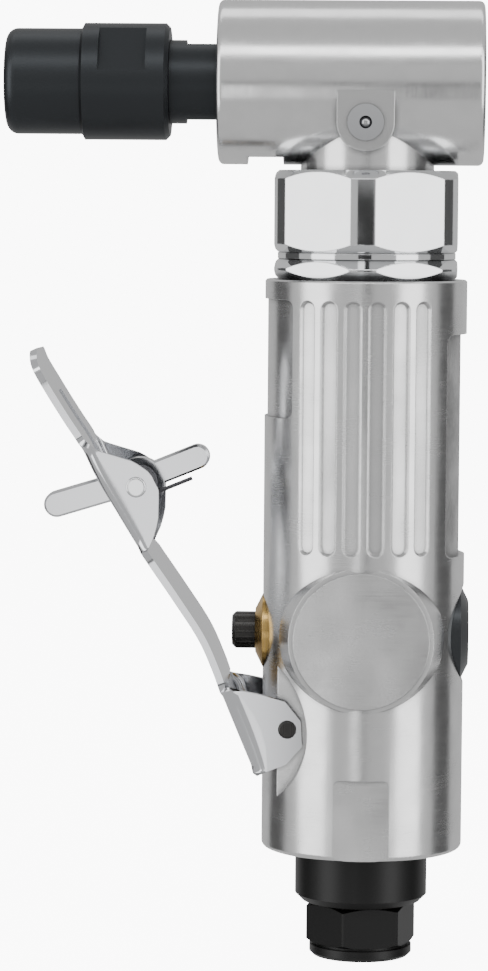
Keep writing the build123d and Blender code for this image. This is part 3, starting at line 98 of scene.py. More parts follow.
@dataclass(frozen=True)
class Finish:
    """A metal, rubber or fibre surface made from noise, with rounded-looking edges and painted shade in
    its creases.
    """

    name: str
    colour: tuple[float, float, float]
    roughness: float
    metallic: float = 1.0
    grain: Grain = Grain.NONE
    grain_scale: float = 3000.0
    grain_bump: float = 0.05
    grain_roughness: float = 0.08
    cloud_scale: float = 180.0
    cloud_dark: float = 0.08
    cloud_roughness: float = 0.06
    pit_scale: float = 2600.0
    pit_bump: float = 0.0
    wave_scale: float = 110.0
    wave_bump: float = 0.0
    edge_mm: float = 0.15
    crease_mm: float = 1.1
    # Painted shade: how far the base colour darkens in creases.
    crease_shade_strength: float = 0.55

    def build(self) -> bpy.types.Material:
        """Makes the material, or returns the one already made.

        Returns:
            The material, ready to be put on a mesh.
        """
        known = bpy.data.materials.get(self.name)
        if known:
            return known
        material = bpy.data.materials.new(self.name)
        material.use_nodes = True
        nodes = material.node_tree.nodes
        links = material.node_tree.links
        surface = nodes["Principled BSDF"]
        surface.inputs["Metallic"].default_value = self.metallic
        place = nodes.new("ShaderNodeTexCoord")

        grain_map = nodes.new("ShaderNodeMapping")
        grain_map.inputs["Scale"].default_value = self.grain.value
        links.new(place.outputs["Object"], grain_map.inputs["Vector"])
        grain = self._noise(
            nodes, links, grain_map.outputs["Vector"], self.grain_scale, GRAIN_DETAIL
        )
        where = place.outputs["Object"]
        cloud = self._noise(nodes, links, where, self.cloud_scale, CLOUD_DETAIL)
        pits = self._noise(nodes, links, where, self.pit_scale, PIT_DETAIL)
        waves = self._noise(nodes, links, where, self.wave_scale, WAVE_DETAIL)

        shade = nodes.new("ShaderNodeMix")
        shade.data_type = "RGBA"
        dark = tuple(c * (1.0 - self.cloud_dark) for c in self.colour)
        shade.inputs[6].default_value = (*dark, 1.0)
        shade.inputs[7].default_value = (*self.colour, 1.0)
        links.new(self._spread(nodes, links, cloud, 0.0, 1.0), shade.inputs[0])

        # Painted shade: ambient occlusion darkens the base colour in creases, corners and between
        # parts, where shade falls.
        crease = nodes.new("ShaderNodeAmbientOcclusion")
        crease.samples = CREASE_SAMPLES
        crease.inputs["Distance"].default_value = self.crease_mm * MM
        painted_crease_shade = nodes.new("ShaderNodeMix")
        painted_crease_shade.data_type = "RGBA"
        painted_crease_shade.inputs[6].default_value = (*(c * (1.0 - self.crease_shade_strength) for c in self.colour), 1.0)
        open_air = self._spread(nodes, links, crease.outputs["AO"], 0.0, 1.0, CREASE_WINDOW)
        links.new(open_air, painted_crease_shade.inputs[0])
        links.new(shade.outputs[2], painted_crease_shade.inputs[7])
        links.new(painted_crease_shade.outputs[2], surface.inputs["Base Color"])

        rough = nodes.new("ShaderNodeMath")
        rough.operation = "ADD"
        low = self.roughness - self.cloud_roughness / 2
        cloudy = self._spread(nodes, links, cloud, low + self.cloud_roughness, low)
        links.new(cloudy, rough.inputs[0])
        swing = self.grain_roughness / 2
        links.new(self._spread(nodes, links, grain, -swing, swing), rough.inputs[1])
        rough.use_clamp = True
        links.new(rough.outputs[0], surface.inputs["Roughness"])

        edge = nodes.new("ShaderNodeBevel")
        edge.samples = EDGE_SAMPLES
        edge.inputs["Radius"].default_value = self.edge_mm * MM
        normal = edge.outputs["Normal"]
        for source, strength, depth in (
            (waves, self.wave_bump, WAVE_DEPTH_MM),
            (grain, self.grain_bump, GRAIN_DEPTH_MM),
            (pits, self.pit_bump, PIT_DEPTH_MM),
        ):
            if strength > 0:
                bump = nodes.new("ShaderNodeBump")
                bump.inputs["Strength"].default_value = strength
                bump.inputs["Distance"].default_value = depth * MM
                links.new(source, bump.inputs["Height"])
                links.new(normal, bump.inputs["Normal"])
                normal = bump.outputs["Normal"]
        links.new(normal, surface.inputs["Normal"])
        return material

    @staticmethod
    def _noise(
        nodes: bpy.types.Nodes,
        links: bpy.types.NodeLinks,
        vector: bpy.types.NodeSocket,
        scale: float,
        detail: float,
    ) -> bpy.types.NodeSocket:
        """Adds a noise texture.

        Args:
            nodes: The material's nodes.
            links: The material's links.
            vector: Where the noise takes its place from.
            scale: How fine the noise is, in features per metre.
            detail: How many finer layers it has.

        Returns:
            The noise value.
        """
        noise = nodes.new("ShaderNodeTexNoise")
        noise.inputs["Scale"].default_value = scale
        noise.inputs["Detail"].default_value = detail
        links.new(vector, noise.inputs["Vector"])
        return noise.outputs["Fac"]

    @staticmethod
    def _spread(
        nodes: bpy.types.Nodes,
        links: bpy.types.NodeLinks,
        source: bpy.types.NodeSocket,
        low: float,
        high: float,
        window: tuple[float, float] = (0.35, 0.65),
    ) -> bpy.types.NodeSocket:
        """Stretches a window of a value to run from low to high.

        Args:
            nodes: The material's nodes.
            links: The material's links.
            source: The value to stretch.
            low: Result at the start of the window.
            high: Result at the end of the window.
            window: The part of the value that is stretched.

        Returns:
            The stretched value.
        """
        spread = nodes.new("ShaderNodeMapRange")
        spread.inputs["From Min"].default_value = window[0]
        spread.inputs["From Max"].default_value = window[1]
        spread.inputs["To Min"].default_value = low
        spread.inputs["To Max"].default_value = high
        links.new(source, spread.inputs["Value"])
        return spread.outputs["Result"]


CASTING = Finish(
    "polished_casting", (0.80, 0.80, 0.80), 0.24, grain=Grain.ROUND_Z, grain_scale=5200.0,
    grain_bump=0.035, grain_roughness=0.04, cloud_dark=0.06, cloud_roughness=0.06, pit_bump=0.04,
    wave_scale=60.0, wave_bump=0.30, edge_mm=0.22,
)
HEAD_CASTING = Finish(
    "polished_head", (0.82, 0.82, 0.82), 0.21, grain=Grain.ROUND_X, grain_scale=4200.0,
    grain_bump=0.04, grain_roughness=0.04, cloud_dark=0.06, cloud_roughness=0.06, pit_bump=0.03,
    wave_scale=70.0, wave_bump=0.12, edge_mm=0.3,
)
CHROME = Finish(
    "mirror_chrome", (0.86, 0.87, 0.88), 0.07, grain_bump=0.0, grain_roughness=0.0,
    cloud_dark=0.03, cloud_roughness=0.03, edge_mm=0.25,
)
NICKEL = Finish(
    "nickel_plate", (0.88, 0.88, 0.875), 0.20, grain=Grain.ALONG_Z, grain_scale=1500.0,
    grain_bump=0.03, grain_roughness=0.06, cloud_dark=0.10, cloud_roughness=0.08,
    wave_scale=70.0, wave_bump=0.75, edge_mm=0.3,
)
BLACK_OXIDE = Finish(
    "black_oxide", (0.040, 0.040, 0.040), 0.24, metallic=0.6, grain=Grain.ROUND_X,
    grain_scale=2500.0, grain_bump=0.10, grain_roughness=0.10, cloud_dark=0.25,
    cloud_roughness=0.10, edge_mm=0.25,
)
MATTE_BLACK = Finish(
    "matte_black", (0.062, 0.062, 0.063), 0.44, metallic=0.6, grain=Grain.ROUND_Z,
    grain_scale=1800.0, grain_bump=0.08, cloud_dark=0.3, cloud_roughness=0.15, pit_bump=0.2,
    edge_mm=0.2,
)
BUTTON_BLACK = Finish(
    "button_black", (0.038, 0.036, 0.034), 0.30, metallic=0.4, grain=Grain.ALONG_Z,
    grain_bump=0.05, cloud_dark=0.2, edge_mm=0.15,
)
ANODISED = Finish(
    "black_anodised", (0.055, 0.055, 0.055), 0.30, metallic=0.6, grain=Grain.ROUND_X,
    grain_bump=0.06, cloud_dark=0.2, edge_mm=0.2,
)
BRASS = Finish(
    "turned_brass", (0.72, 0.47, 0.16), 0.26, grain=Grain.ROUND_X, grain_scale=3500.0,
    grain_bump=0.15, grain_roughness=0.12, cloud_dark=0.25, cloud_roughness=0.12, pit_bump=0.1,
    edge_mm=0.12,
)
ROUGH_CAST = Finish(
    "rough_casting", (0.62, 0.62, 0.62), 0.42, pit_scale=1500.0, pit_bump=1.0, cloud_dark=0.3,
    edge_mm=0.2,
)
GROUND_STEEL = Finish("ground_steel", (0.62, 0.62, 0.63), 0.18, cloud_dark=0.05)
TURNED_STEEL = Finish("turned_steel", (0.46, 0.46, 0.47), 0.32, grain_bump=0.1)
MOTOR_IRON = Finish("motor_iron", (0.30, 0.30, 0.31), 0.38, grain_bump=0.12, pit_bump=0.1)
LAMINATE = Finish("vane_laminate", (0.27, 0.14, 0.07), 0.5, metallic=0.0, pit_bump=0.2)
RUBBER = Finish("black_rubber", (0.02, 0.02, 0.02), 0.6, metallic=0.0, pit_bump=0.2)
FIBRE = Finish("gasket_fibre", (0.26, 0.22, 0.15), 0.85, metallic=0.0, pit_bump=0.5)
FELT = Finish("felt", (0.42, 0.41, 0.37), 0.95, metallic=0.0, pit_scale=5000.0, pit_bump=1.0)
SPRING_WIRE = Finish("spring_wire", (0.10, 0.10, 0.105), 0.28, cloud_dark=0.1)


@dataclass
class Assembly:
    """A group of CAD nodes that get their finish and, where asked, real rounded edges."""

    frame: dict
    title: str = "assembly"
    finishes: dict[str, Finish] = field(default_factory=dict)
    rounded_mm: dict[str, float] = field(default_factory=dict)

    def dress(self) -> None:
        """Gives each node its material and its rounded edges, and reports it."""
        for name, finish in self.finishes.items():
            node = self.frame["nodes"][name]
            self.paint(node, finish)
            if name in self.rounded_mm:
                self.round_edges(node, self.rounded_mm[name] * MM)
            LOG.info("%s: %s in %s", self.title, name, finish.name)

    @staticmethod
    def paint(piece: bpy.types.Object, finish: Finish) -> None:
        """Puts one finish on a piece.

        Args:
            piece: The mesh object that gets it.
            finish: The finish for all its faces.
        """
        piece.data.materials.clear()
        piece.data.materials.append(finish.build())

    @staticmethod
    def round_edges(piece: bpy.types.Object, width: float) -> None:
        """Rounds the sharp edges of a piece with a live bevel.

        Args:
            piece: The mesh object whose edges are rounded.
            width: How far the round reaches from each edge, in metres.
        """
        bevel = piece.modifiers.new("rounded_edges", "BEVEL")
        bevel.width = width
        bevel.segments = ROUND_SEGMENTS
        bevel.limit_method = "ANGLE"
        bevel.angle_limit = ROUND_ANGLE
        bevel.harden_normals = False

    def build(self) -> None:
        """Dresses the nodes; sub-assemblies with pieces of their own add them."""
        self.dress()


@dataclass
class Barrel(Assembly):
    """Cast barrel with its flutes, discs and pockets."""

    title: str = "barrel"
    finishes: dict[str, Finish] = field(
        default_factory=lambda: {"body_housing": CASTING, "lever_pin": BUTTON_BLACK}
    )
    recess_x: float = 14.2
    recess_r: float = 16.75
    recess_span: tuple[float, float] = (71.4, 109.5)

    def build(self) -> None:
        """Dresses the barrel and leaves the floor of the label recess as it was cast."""
        self.dress()
        body = self.frame["nodes"]["body_housing"]
        body.data.materials.append(ROUGH_CAST.build())
        rough = 0
        for face in body.data.polygons:
            centre = body.matrix_world @ face.center / MM
            low, high = self.recess_span
            at_floor = centre.x > self.recess_x and centre.xy.length < self.recess_r
            if at_floor and low < centre.z < high:
                face.material_index = 1
                rough += 1
        LOG.info("barrel: %d faces of the recess left rough", rough)


@dataclass
class Coupling(Assembly):
    """Chromed coupling nut and its lock ring."""

    title: str = "coupling"
    finishes: dict[str, Finish] = field(
        default_factory=lambda: {"coupling_nut": CHROME, "lock_ring": CHROME}
    )


@dataclass
class Head(Assembly):
    """Right-angle head with its grease fitting and caps; its bearings are dressed with the motor."""

    title: str = "head"
    finishes: dict[str, Finish] = field(
        default_factory=lambda: {
            "head_housing": HEAD_CASTING,
            "head_rear_cap": TURNED_STEEL,
            "grease_fitting": NICKEL,
            "grease_check_ball": GROUND_STEEL,
            "spindle_retainer": BLACK_OXIDE,
            "spindle_seal": RUBBER,
            "pinion_retainer": TURNED_STEEL,
        }
    )


@dataclass
class SpindleGroup(Assembly):
    """Spindle and collet nut in black oxide, with the collet and gears in turned steel."""

    title: str = "spindle"
    finishes: dict[str, Finish] = field(
        default_factory=lambda: {
            "spindle": BLACK_OXIDE,
            "collet_nut": BLACK_OXIDE,
            "collet": TURNED_STEEL,
            "bevel_gear": TURNED_STEEL,
            "gear_nut": TURNED_STEEL,
            "pinion_shaft": TURNED_STEEL,
        }
    )


@dataclass
class Motor(Assembly):
    """Vane motor inside the barrel, and all the ball bearings."""

    title: str = "motor"
    finishes: dict[str, Finish] = field(
        default_factory=lambda: {
            "motor_cylinder": MOTOR_IRON,
            "motor_front_plate": MOTOR_IRON,
            "motor_rear_plate": MOTOR_IRON,
            "motor_gasket": FIBRE,
            "locating_pin": GROUND_STEEL,
            "rotor": TURNED_STEEL,
            "rotor_vanes": LAMINATE,
        }
    )

    def build(self) -> None:
        """Dresses the motor and every bearing ring and ball set."""
        for name in self.frame["nodes"]:
            if name.endswith(("_outer", "_inner", "_balls")):
                self.finishes[name] = GROUND_STEEL
        self.dress()


@dataclass
class Throttle(Assembly):
    """Throttle valve and speed regulator across the barrel."""

    title: str = "throttle"
    rib_count: int = 20
    rib_sides: int = 12
    rib_r: float = 0.34
    rib_ring_r: float = 2.95
    rib_span: tuple[float, float] = (-22.3, -15.4)
    axis_z: float = 57.3
    wear_seed: int = 7
    wear_span: tuple[float, float] = (0.94, 1.0)
    finishes: dict[str, Finish] = field(
        default_factory=lambda: {
            "valve_bushing": BRASS,
            "valve_stem": BUTTON_BLACK,
            "valve_seal": RUBBER,
            "valve_spring": SPRING_WIRE,
            "regulator_knob": ANODISED,
            "regulator_oring": RUBBER,
            "regulator_snap_ring": SPRING_WIRE,
        }
    )

    def build(self) -> None:
        """Dresses the valve and the regulator, and adds the ribs round the button."""
        self.dress()
        self.ribs()

    def rib_nodes(self) -> bpy.types.NodeTree:
        """Makes the node group that stands ribs in a ring.

        Returns:
            A group with Count, Ring Radius, Rib Radius, Length and Wear Seed as inputs.
        """
        group = bpy.data.node_groups.new("ring_of_ribs", "GeometryNodeTree")
        group.interface.new_socket("Geometry", in_out="INPUT", socket_type="NodeSocketGeometry")
        for name, kind, value in (
            ("Count", "NodeSocketInt", self.rib_count),
            ("Ring Radius", "NodeSocketFloat", self.rib_ring_r * MM),
            ("Rib Radius", "NodeSocketFloat", self.rib_r * MM),
            ("Length", "NodeSocketFloat", (self.rib_span[1] - self.rib_span[0]) * MM),
            ("Wear Seed", "NodeSocketInt", self.wear_seed),
        ):
            socket = group.interface.new_socket(name, in_out="INPUT", socket_type=kind)
            socket.default_value = value
        group.interface.new_socket("Geometry", in_out="OUTPUT", socket_type="NodeSocketGeometry")
        new, link = group.nodes.new, group.links.new
        given = new("NodeGroupInput")
        ring = new("GeometryNodeMeshCircle")
        rib = new("GeometryNodeMeshCylinder")
        rib.inputs["Vertices"].default_value = self.rib_sides
        wear = new("FunctionNodeRandomValue")
        wear.data_type = "FLOAT"
        wear.inputs[2].default_value, wear.inputs[3].default_value = self.wear_span
        stand = new("GeometryNodeInstanceOnPoints")
        lay = new("GeometryNodeTransform")
        middle = (self.rib_span[0] + self.rib_span[1]) / 2 * MM
        lay.inputs["Rotation"].default_value = (0.0, math.radians(90), 0.0)
        lay.inputs["Translation"].default_value = (middle, 0.0, self.axis_z * MM)
        real = new("GeometryNodeRealizeInstances")
        paint = new("GeometryNodeSetMaterial")
        paint.inputs["Material"].default_value = BUTTON_BLACK.build()
        done = new("NodeGroupOutput")
        link(given.outputs["Count"], ring.inputs["Vertices"])
        link(given.outputs["Ring Radius"], ring.inputs["Radius"])
        link(given.outputs["Rib Radius"], rib.inputs["Radius"])
        link(given.outputs["Length"], rib.inputs["Depth"])
        link(given.outputs["Wear Seed"], wear.inputs["Seed"])
        link(ring.outputs["Mesh"], stand.inputs["Points"])
        link(rib.outputs["Mesh"], stand.inputs["Instance"])
        link(wear.outputs[1], stand.inputs["Scale"])
        link(stand.outputs["Instances"], lay.inputs["Geometry"])
        link(lay.outputs["Geometry"], real.inputs["Geometry"])
        link(real.outputs["Geometry"], paint.inputs["Geometry"])
        link(paint.outputs["Geometry"], done.inputs["Geometry"])
        return group

    def ribs(self) -> None:
        """Turns the node group into a plain mesh that rides on the button."""
        piece = bpy.data.objects.new("button_ribs", bpy.data.meshes.new("button_ribs"))
        bpy.context.collection.objects.link(piece)
        piece.modifiers.new("ribs", "NODES").node_group = self.rib_nodes()
        view = bpy.context.evaluated_depsgraph_get()
        made = bpy.data.meshes.new_from_object(piece.evaluated_get(view))
        piece.modifiers.clear()
        piece.data = made
        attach(piece, "valve_group")
        LOG.info("throttle: %d ribs, %d faces", self.rib_count, len(made.polygons))


@dataclass
class Inlet(Assembly):
    """Air inlet bushing and exhaust deflector."""

    title: str = "inlet"
    finishes: dict[str, Finish] = field(
        default_factory=lambda: {
            "exhaust_deflector": MATTE_BLACK,
            "exhaust_silencer": FELT,
            "inlet_bushing": MATTE_BLACK,
            "inlet_screen": BRASS,
            "inlet_oring": RUBBER,
        }
    )


@dataclass
class Lever(Assembly):
    """Bent plate lever, its safety catch and their pins and spring.

    The plate's outside line and the two ear outlines are (X, Z) points in millimetres, listed from
    the paddle down to the heel, and the ears are rolled over at |Y| equal to half_width.
    """

    title: str = "lever"
    plate_mm: float = 1.25
    half_width: float = 11.3
    tip_round: float = 6.0
    steps: int = 7
    bend_steps: int = 7
    ear_steps: int = 6
    slot_half_width: float = 2.6
    slot_span: tuple[float, float] = (77.4, 98.3)
    edge_mm: float = 0.14
    tip_start: float = 0.02
    weld_mm: float = 0.002
    drill_sides: int = 48
    flat_z: float = 65.0
    outside: tuple[tuple[float, float], ...] = (
        (-58.2, 106.25),
        (-57.5, 103.6),
        (-55.0, 99.3),
        (-51.9, 94.4),
        (-49.0, 90.0),
        (-46.5, 84.9),
        (-43.3, 79.5),
        (-38.4, 71.6),
        (-32.9, 63.6),
        (-28.5, 56.9),
        (-25.9, 51.2),
        (-23.8, 45.5),
        (-18.8, 33.6),
    )
    catch_ear: tuple[tuple[float, float], ...] = (
        (-49.0, 90.2),
        (-46.0, 89.3),
        (-39.8, 87.5),
        (-36.9, 85.6),
        (-35.4, 82.6),
        (-35.5, 77.2),
        (-36.7, 73.0),
        (-38.4, 71.6),
    )
    hinge_ear: tuple[tuple[float, float], ...] = (
        (-24.3, 47.3),
        (-22.4, 48.2),
        (-14.5, 46.7),
        (-12.3, 45.6),
        (-10.8, 43.4),
        (-10.0, 41.0),
        (-9.98, 39.2),
        (-10.6, 37.6),
        (-12.2, 35.7),
        (-14.8, 34.1),
        (-18.8, 33.6),
    )
    bend_radii: tuple[float, float] = (1.9, 3.0)
    hinge: tuple[float, float] = (-12.9, 41.3)
    hinge_hole: float = 1.6
    catch: tuple[float, float] = (-39.3, 83.15)
    catch_hole: float = 1.8
    finishes: dict[str, Finish] = field(
        default_factory=lambda: {
            "safety_catch": NICKEL,
            "catch_pin": CHROME,
            "catch_spring": SPRING_WIRE,
        }
    )

    def build(self) -> None:
        """Dresses the catch and makes the lever with its bends rolled round."""
        self.rounded_mm = {"safety_catch": 0.35}
        self.dress()
        self.bent_plate()

    def stations(self) -> list[Vector]:
        """Smooths the outside line.

        Returns:
            A close run of points from the tip to the heel.
        """
        points = [Vector(point) for point in self.outside]
        run = []
        for index in range(len(points) - 1):
            before = points[max(index - 1, 0)]
            start, end = points[index], points[index + 1]
            after = points[min(index + 2, len(points) - 1)]
            steps = self.steps if index else 2 * self.steps
            for step in range(steps):
                t = step / steps if index else (step / steps) ** 2
                pull = (end - before) * 0.5
                push = (after - start) * 0.5
                run.append(
                    start * (2 * t**3 - 3 * t**2 + 1)
                    + pull * (t**3 - 2 * t**2 + t)
                    + end * (3 * t**2 - 2 * t**3)
                    + push * (t**3 - t**2)
                )
        run.append(points[-1])
        return run

    @staticmethod
    def along(outline: list[Vector], share: float) -> Vector:
        """Finds the point at a share of an outline's length.

        Args:
            outline: Points of the outline in order.
            share: How far along it, from 0 to 1.

        Returns:
            The point there.
        """
        lengths = [(b - a).length for a, b in zip(outline, outline[1:])]
        left = share * sum(lengths)
        for start, end, length in zip(outline, outline[1:], lengths):
            if left <= length:
                return start.lerp(end, left / length)
            left -= length
        return outline[-1]

    def ear_at(self, point: Vector) -> tuple[Vector, float] | None:
        """Far point of the ear and its bend radius for a place on the outside line.

        Args:
            point: A place on the outside line.

        Returns:
            The far point and the radius, or None where the plate has no ear.
        """
        for ear, radius in zip((self.catch_ear, self.hinge_ear), self.bend_radii):
            outline = [Vector(corner) for corner in ear]
            top, bottom = outline[0].y, outline[-1].y
            if bottom < point.y < top:
                return self.along(outline, (top - point.y) / (top - bottom)), radius
        return None

    def half_section(self, point: Vector, place: float) -> list[Vector]:
        """One side of the plate's section, from the middle to the rim of the ear.

        Args:
            point: The place on the outside line.
            place: Distance from the tip, in millimetres.

        Returns:
            Points of the section in the frame, in millimetres.
        """
        width = self.half_width
        if place < self.tip_round:
            short = self.tip_round - place
            width -= self.tip_round - math.sqrt(self.tip_round**2 - short**2)
        ear = self.ear_at(point)
        inward, depth, radius = Vector((1.0, 0.0)), 0.0, 1.0
        if ear:
            inward = ear[0] - point
            depth, radius = inward.length, ear[1]
            inward = inward.normalized() if depth > 0 else Vector((1.0, 0.0))
        turn = math.acos(max(1 - depth / radius, 0.0)) if depth < radius else math.pi / 2
        flat = width - radius * math.sin(turn)
        section = [(y, 0.0) for y in (0.0, self.slot_half_width, (flat + self.slot_half_width) / 2)]
        for step in range(self.bend_steps + 1):
            angle = turn * step / self.bend_steps
            section.append((flat + radius * math.sin(angle), radius * (1 - math.cos(angle))))
        rest = max(depth - radius, 0.0)
        for step in range(1, self.ear_steps + 1):
            section.append((width, radius * (1 - math.cos(turn)) + rest * step / self.ear_steps))
        return [Vector((point.x + inward.x * d, y, point.y + inward.y * d)) for y, d in section]

    def sheet(self) -> bpy.types.Object:
        """Makes the plate's outside surface, with the slot for the catch left open.

        Returns:
            The sheet as an object without thickness.
        """
        work = bmesh.new()
        rows = []
        run = self.stations()
        place = 0.0
        for index, point in enumerate(run):
            place += (point - run[index - 1]).length if index else self.tip_start
            half = self.half_section(point, place)
            mirrored = [Vector((p.x, -p.y, p.z)) for p in reversed(half[1:])]
            rows.append([work.verts.new(p * MM) for p in mirrored + half])
        middle = len(rows[0]) // 2
        for upper, lower in zip(rows, rows[1:]):
            height = (upper[middle].co.z + lower[middle].co.z) / 2 / MM
            for column in range(len(upper) - 1):
                in_slot = self.slot_span[0] < height < self.slot_span[1]
                if in_slot and column in (middle - 1, middle):
                    continue
                corners = (upper[column], upper[column + 1], lower[column + 1], lower[column])
                work.faces.new(corners)
        bmesh.ops.remove_doubles(work, verts=work.verts, dist=self.weld_mm * MM)
        bmesh.ops.recalc_face_normals(work, faces=work.faces)
        mesh = bpy.data.meshes.new("lever_plate")
        work.to_mesh(mesh)
        work.free()
        plate = bpy.data.objects.new("lever_plate", mesh)
        bpy.context.collection.objects.link(plate)
        return plate

    def bent_plate(self) -> None:
        """Thickens the sheet, drills its pin holes and rounds its cut edges."""
        plate = self.sheet()
        middle = min(plate.data.polygons, key=lambda face: abs(face.center.z - self.flat_z * MM))
        outward = middle.normal.x < 0
        thick = plate.modifiers.new("plate", "SOLIDIFY")
        thick.thickness = self.plate_mm * MM
        thick.offset = -1.0 if outward else 1.0
        thick.use_even_offset = False
        holes = [
            self.drill(self.hinge, self.hinge_hole),
            self.drill(self.catch, self.catch_hole),
        ]
        for drill in holes:
            cut = plate.modifiers.new("hole", "BOOLEAN")
            cut.operation = "DIFFERENCE"
            cut.object = drill
        view = bpy.context.evaluated_depsgraph_get()
        made = bpy.data.meshes.new_from_object(plate.evaluated_get(view))
        plate.modifiers.clear()
        plate.data = made
        for drill in holes:
            bpy.data.objects.remove(drill)
        for face in plate.data.polygons:
            face.use_smooth = True
        plate.data.set_sharp_from_angle(angle=SHARP_ANGLE)
        self.paint(plate, NICKEL)
        self.round_edges(plate, self.edge_mm * MM)
        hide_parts("lever")
        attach(plate, "lever_group")
        LOG.info("lever: plate of %d faces", len(plate.data.polygons))

    def drill(self, at: tuple[float, float], radius: float) -> bpy.types.Object:
        """Makes a round bar across the lever, to be cut from its ears.

        Args:
            at: The bar's X and Z, in millimetres.
            radius: The bar's radius, in millimetres.

        Returns:
            The bar.
        """
        bpy.ops.mesh.primitive_cylinder_add(
            vertices=self.drill_sides, radius=radius * MM, depth=4 * self.half_width * MM,
            location=(at[0] * MM, 0, at[1] * MM), rotation=(math.radians(90), 0, 0),
        )
        return bpy.context.object


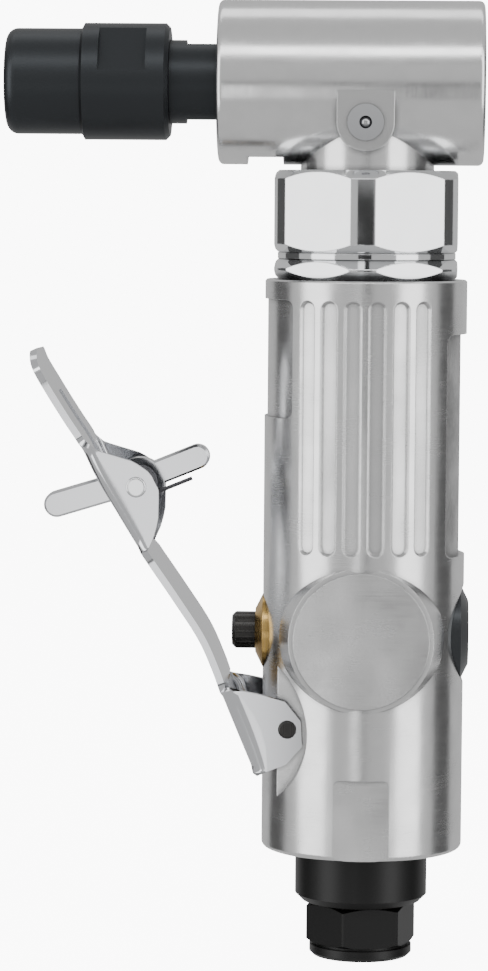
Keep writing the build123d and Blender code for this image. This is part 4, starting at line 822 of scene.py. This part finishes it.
@dataclass
class Studio:
    """Pale floor, white surroundings, soft lights, reflection cards and the camera."""

    camera_at: tuple[float, float, float] = (0.0036, -0.640, 0.135)
    camera_aim: tuple[float, float, float] = (-0.0211, 0.0, 0.0827)
    camera_lens: float = 135.9
    camera_roll: float = 0.4
    middle_z: float = 0.09
    floor_size: float = 6.0
    floor_drop: float = 0.0002
    card_distance: float = 0.45
    front_distance: float = 0.80
    light_distance: float = 0.9
    surround: float = 0.62
    backdrop_glow: float = 9.0

    def build(self) -> None:
        """Makes the floor, the backdrop, the lights, the cards and the camera."""
        self.world()
        self.floor()
        self.lights()
        self.cards()
        self.camera()

    def world(self) -> None:
        """Makes white surroundings of one even brightness."""
        world = bpy.data.worlds.new("studio")
        bpy.context.scene.world = world
        world.use_nodes = True
        shade = world.node_tree.nodes["Background"]
        shade.inputs["Color"].default_value = (1, 1, 1, 1)
        shade.inputs["Strength"].default_value = self.surround

    def floor(self) -> None:
        """Makes a plain pale floor under the tool and a white wall far behind it."""
        material = bpy.data.materials.new("pale_floor")
        material.use_nodes = True
        surface = material.node_tree.nodes["Principled BSDF"]
        surface.inputs["Base Color"].default_value = (0.95, 0.95, 0.95, 1)
        surface.inputs["Roughness"].default_value = 0.9
        surface.inputs["Emission Color"].default_value = (1, 1, 1, 1)
        surface.inputs["Emission Strength"].default_value = self.backdrop_glow
        bpy.ops.mesh.primitive_plane_add(size=self.floor_size, location=(0, 0, -self.floor_drop))
        floor = bpy.context.object
        floor.name = "floor"
        bpy.ops.mesh.primitive_plane_add(size=self.floor_size, location=(0, self.floor_size / 2, 0))
        wall = bpy.context.object
        wall.name = "wall"
        wall.rotation_euler = (math.radians(90), 0, 0)
        for piece in (floor, wall):
            piece.data.materials.append(material)
            piece.visible_diffuse = False
            piece.visible_glossy = False

    def light(
        self, name: str, azimuth: float, height: float, size: tuple[float, float], glow: float
    ) -> None:
        """Adds one rectangular soft light that faces the tool.

        Args:
            name: Name of the light.
            azimuth: Direction round the tool in degrees, 0 towards the camera, positive to +X.
            height: Elevation above the middle of the tool, in degrees.
            size: Width and height in metres.
            glow: Brightness of its surface, as a multiple of plain white.
        """
        turn, lift = math.radians(azimuth), math.radians(height)
        reach = self.light_distance
        at = Vector(
            (
                reach * math.sin(turn) * math.cos(lift),
                -reach * math.cos(turn) * math.cos(lift),
                self.middle_z + reach * math.sin(lift),
            )
        )
        lamp = bpy.data.lights.new(name, "AREA")
        lamp.shape = "RECTANGLE"
        lamp.size, lamp.size_y = size
        lamp.energy = glow * math.pi * size[0] * size[1]
        holder = bpy.data.objects.new(name, lamp)
        holder.location = at
        holder.rotation_euler = (Vector((0, 0, self.middle_z)) - at).to_track_quat("-Z", "Y").to_euler()
        bpy.context.collection.objects.link(holder)

    def lights(self) -> None:
        """Hangs two tall boxes at the sides of the camera and two wide ones above."""
        self.light("left_box", -58, 6, (0.55, 1.0), 2.3)
        self.light("right_box", 54, 6, (0.50, 1.0), 2.3)
        self.light("high_front", 0, 46, (1.2, 0.17), 3.4)
        self.light("high_back", 180, 70, (1.0, 0.3), 1.4)

    def card(
        self,
        name: str,
        at: tuple[float, float, float],
        size: tuple[float, float],
        shade: float,
        glow: float,
    ) -> None:
        """Adds one upright card that only reflections see.

        Args:
            name: Name of the card.
            at: Place of its middle, in metres.
            size: Width and height in metres.
            shade: How light it is, from 0 to 1.
            glow: How strongly it shines by itself.
        """
        bpy.ops.mesh.primitive_plane_add(size=1, location=at)
        card = bpy.context.object
        card.name = name
        card.scale = (*size, 1)
        aim = Vector((0, 0, at[2])) - Vector(at)
        card.rotation_euler = aim.to_track_quat("Z", "Y").to_euler()
        material = bpy.data.materials.new(name)
        material.use_nodes = True
        surface = material.node_tree.nodes["Principled BSDF"]
        surface.inputs["Base Color"].default_value = (shade, shade, shade, 1)
        surface.inputs["Roughness"].default_value = 1.0
        surface.inputs["Emission Color"].default_value = (1, 1, 1, 1)
        surface.inputs["Emission Strength"].default_value = glow
        card.data.materials.append(material)
        card.visible_camera = False
        card.visible_shadow = False
        card.visible_diffuse = False

    def cards(self) -> None:
        """Stands dark cards for the dark bands in the metal, and a bright one for the lever."""
        near, far = self.card_distance, self.front_distance
        for name, reach, azimuth, height, size, shade, glow in (
            ("left_card", near, -112, self.middle_z, (0.26, 0.5), 0.10, 0.0),
            ("right_card", near, 104, self.middle_z, (0.24, 0.5), 0.10, 0.0),
            ("front_card", far, -2, 0.112, (0.24, 0.056), 0.03, 0.0),
            ("front_strip", far, 0, 0.56, (0.9, 0.022), 0.10, 0.0),
            ("low_shade", far, 1, -0.05, (0.085, 0.26), 0.05, 0.0),
            ("lever_glow", far, -6.6, -0.05, (0.12, 0.26), 0.5, 1.5),
        ):
            turn = math.radians(azimuth)
            at = (reach * math.sin(turn), -reach * math.cos(turn), height)
            self.card(name, at, size, shade, glow)

    def camera(self) -> None:
        """Sets the camera at the viewing angle, with a slight roll."""
        data = bpy.data.cameras.new("camera")
        data.lens = self.camera_lens
        data.sensor_width = 36.0
        data.clip_start = 0.01
        data.clip_end = 20.0
        camera = bpy.data.objects.new("camera", data)
        camera.location = self.camera_at
        look = Vector(self.camera_aim) - Vector(self.camera_at)
        turn = look.to_track_quat("-Z", "Y")
        roll = Euler((0, 0, math.radians(self.camera_roll))).to_quaternion()
        camera.rotation_euler = (turn @ roll).to_euler()
        bpy.context.collection.objects.link(camera)
        bpy.context.scene.camera = camera


def main() -> None:
    """Loads the frame, builds every sub-assembly and the studio."""
    logging.basicConfig(level=logging.INFO, format="%(message)s")
    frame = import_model()
    for group in (Barrel, Coupling, Head, SpindleGroup, Motor, Throttle, Inlet, Lever):
        group(frame).build()
    Studio().build()


if __name__ == "__main__":
    main()
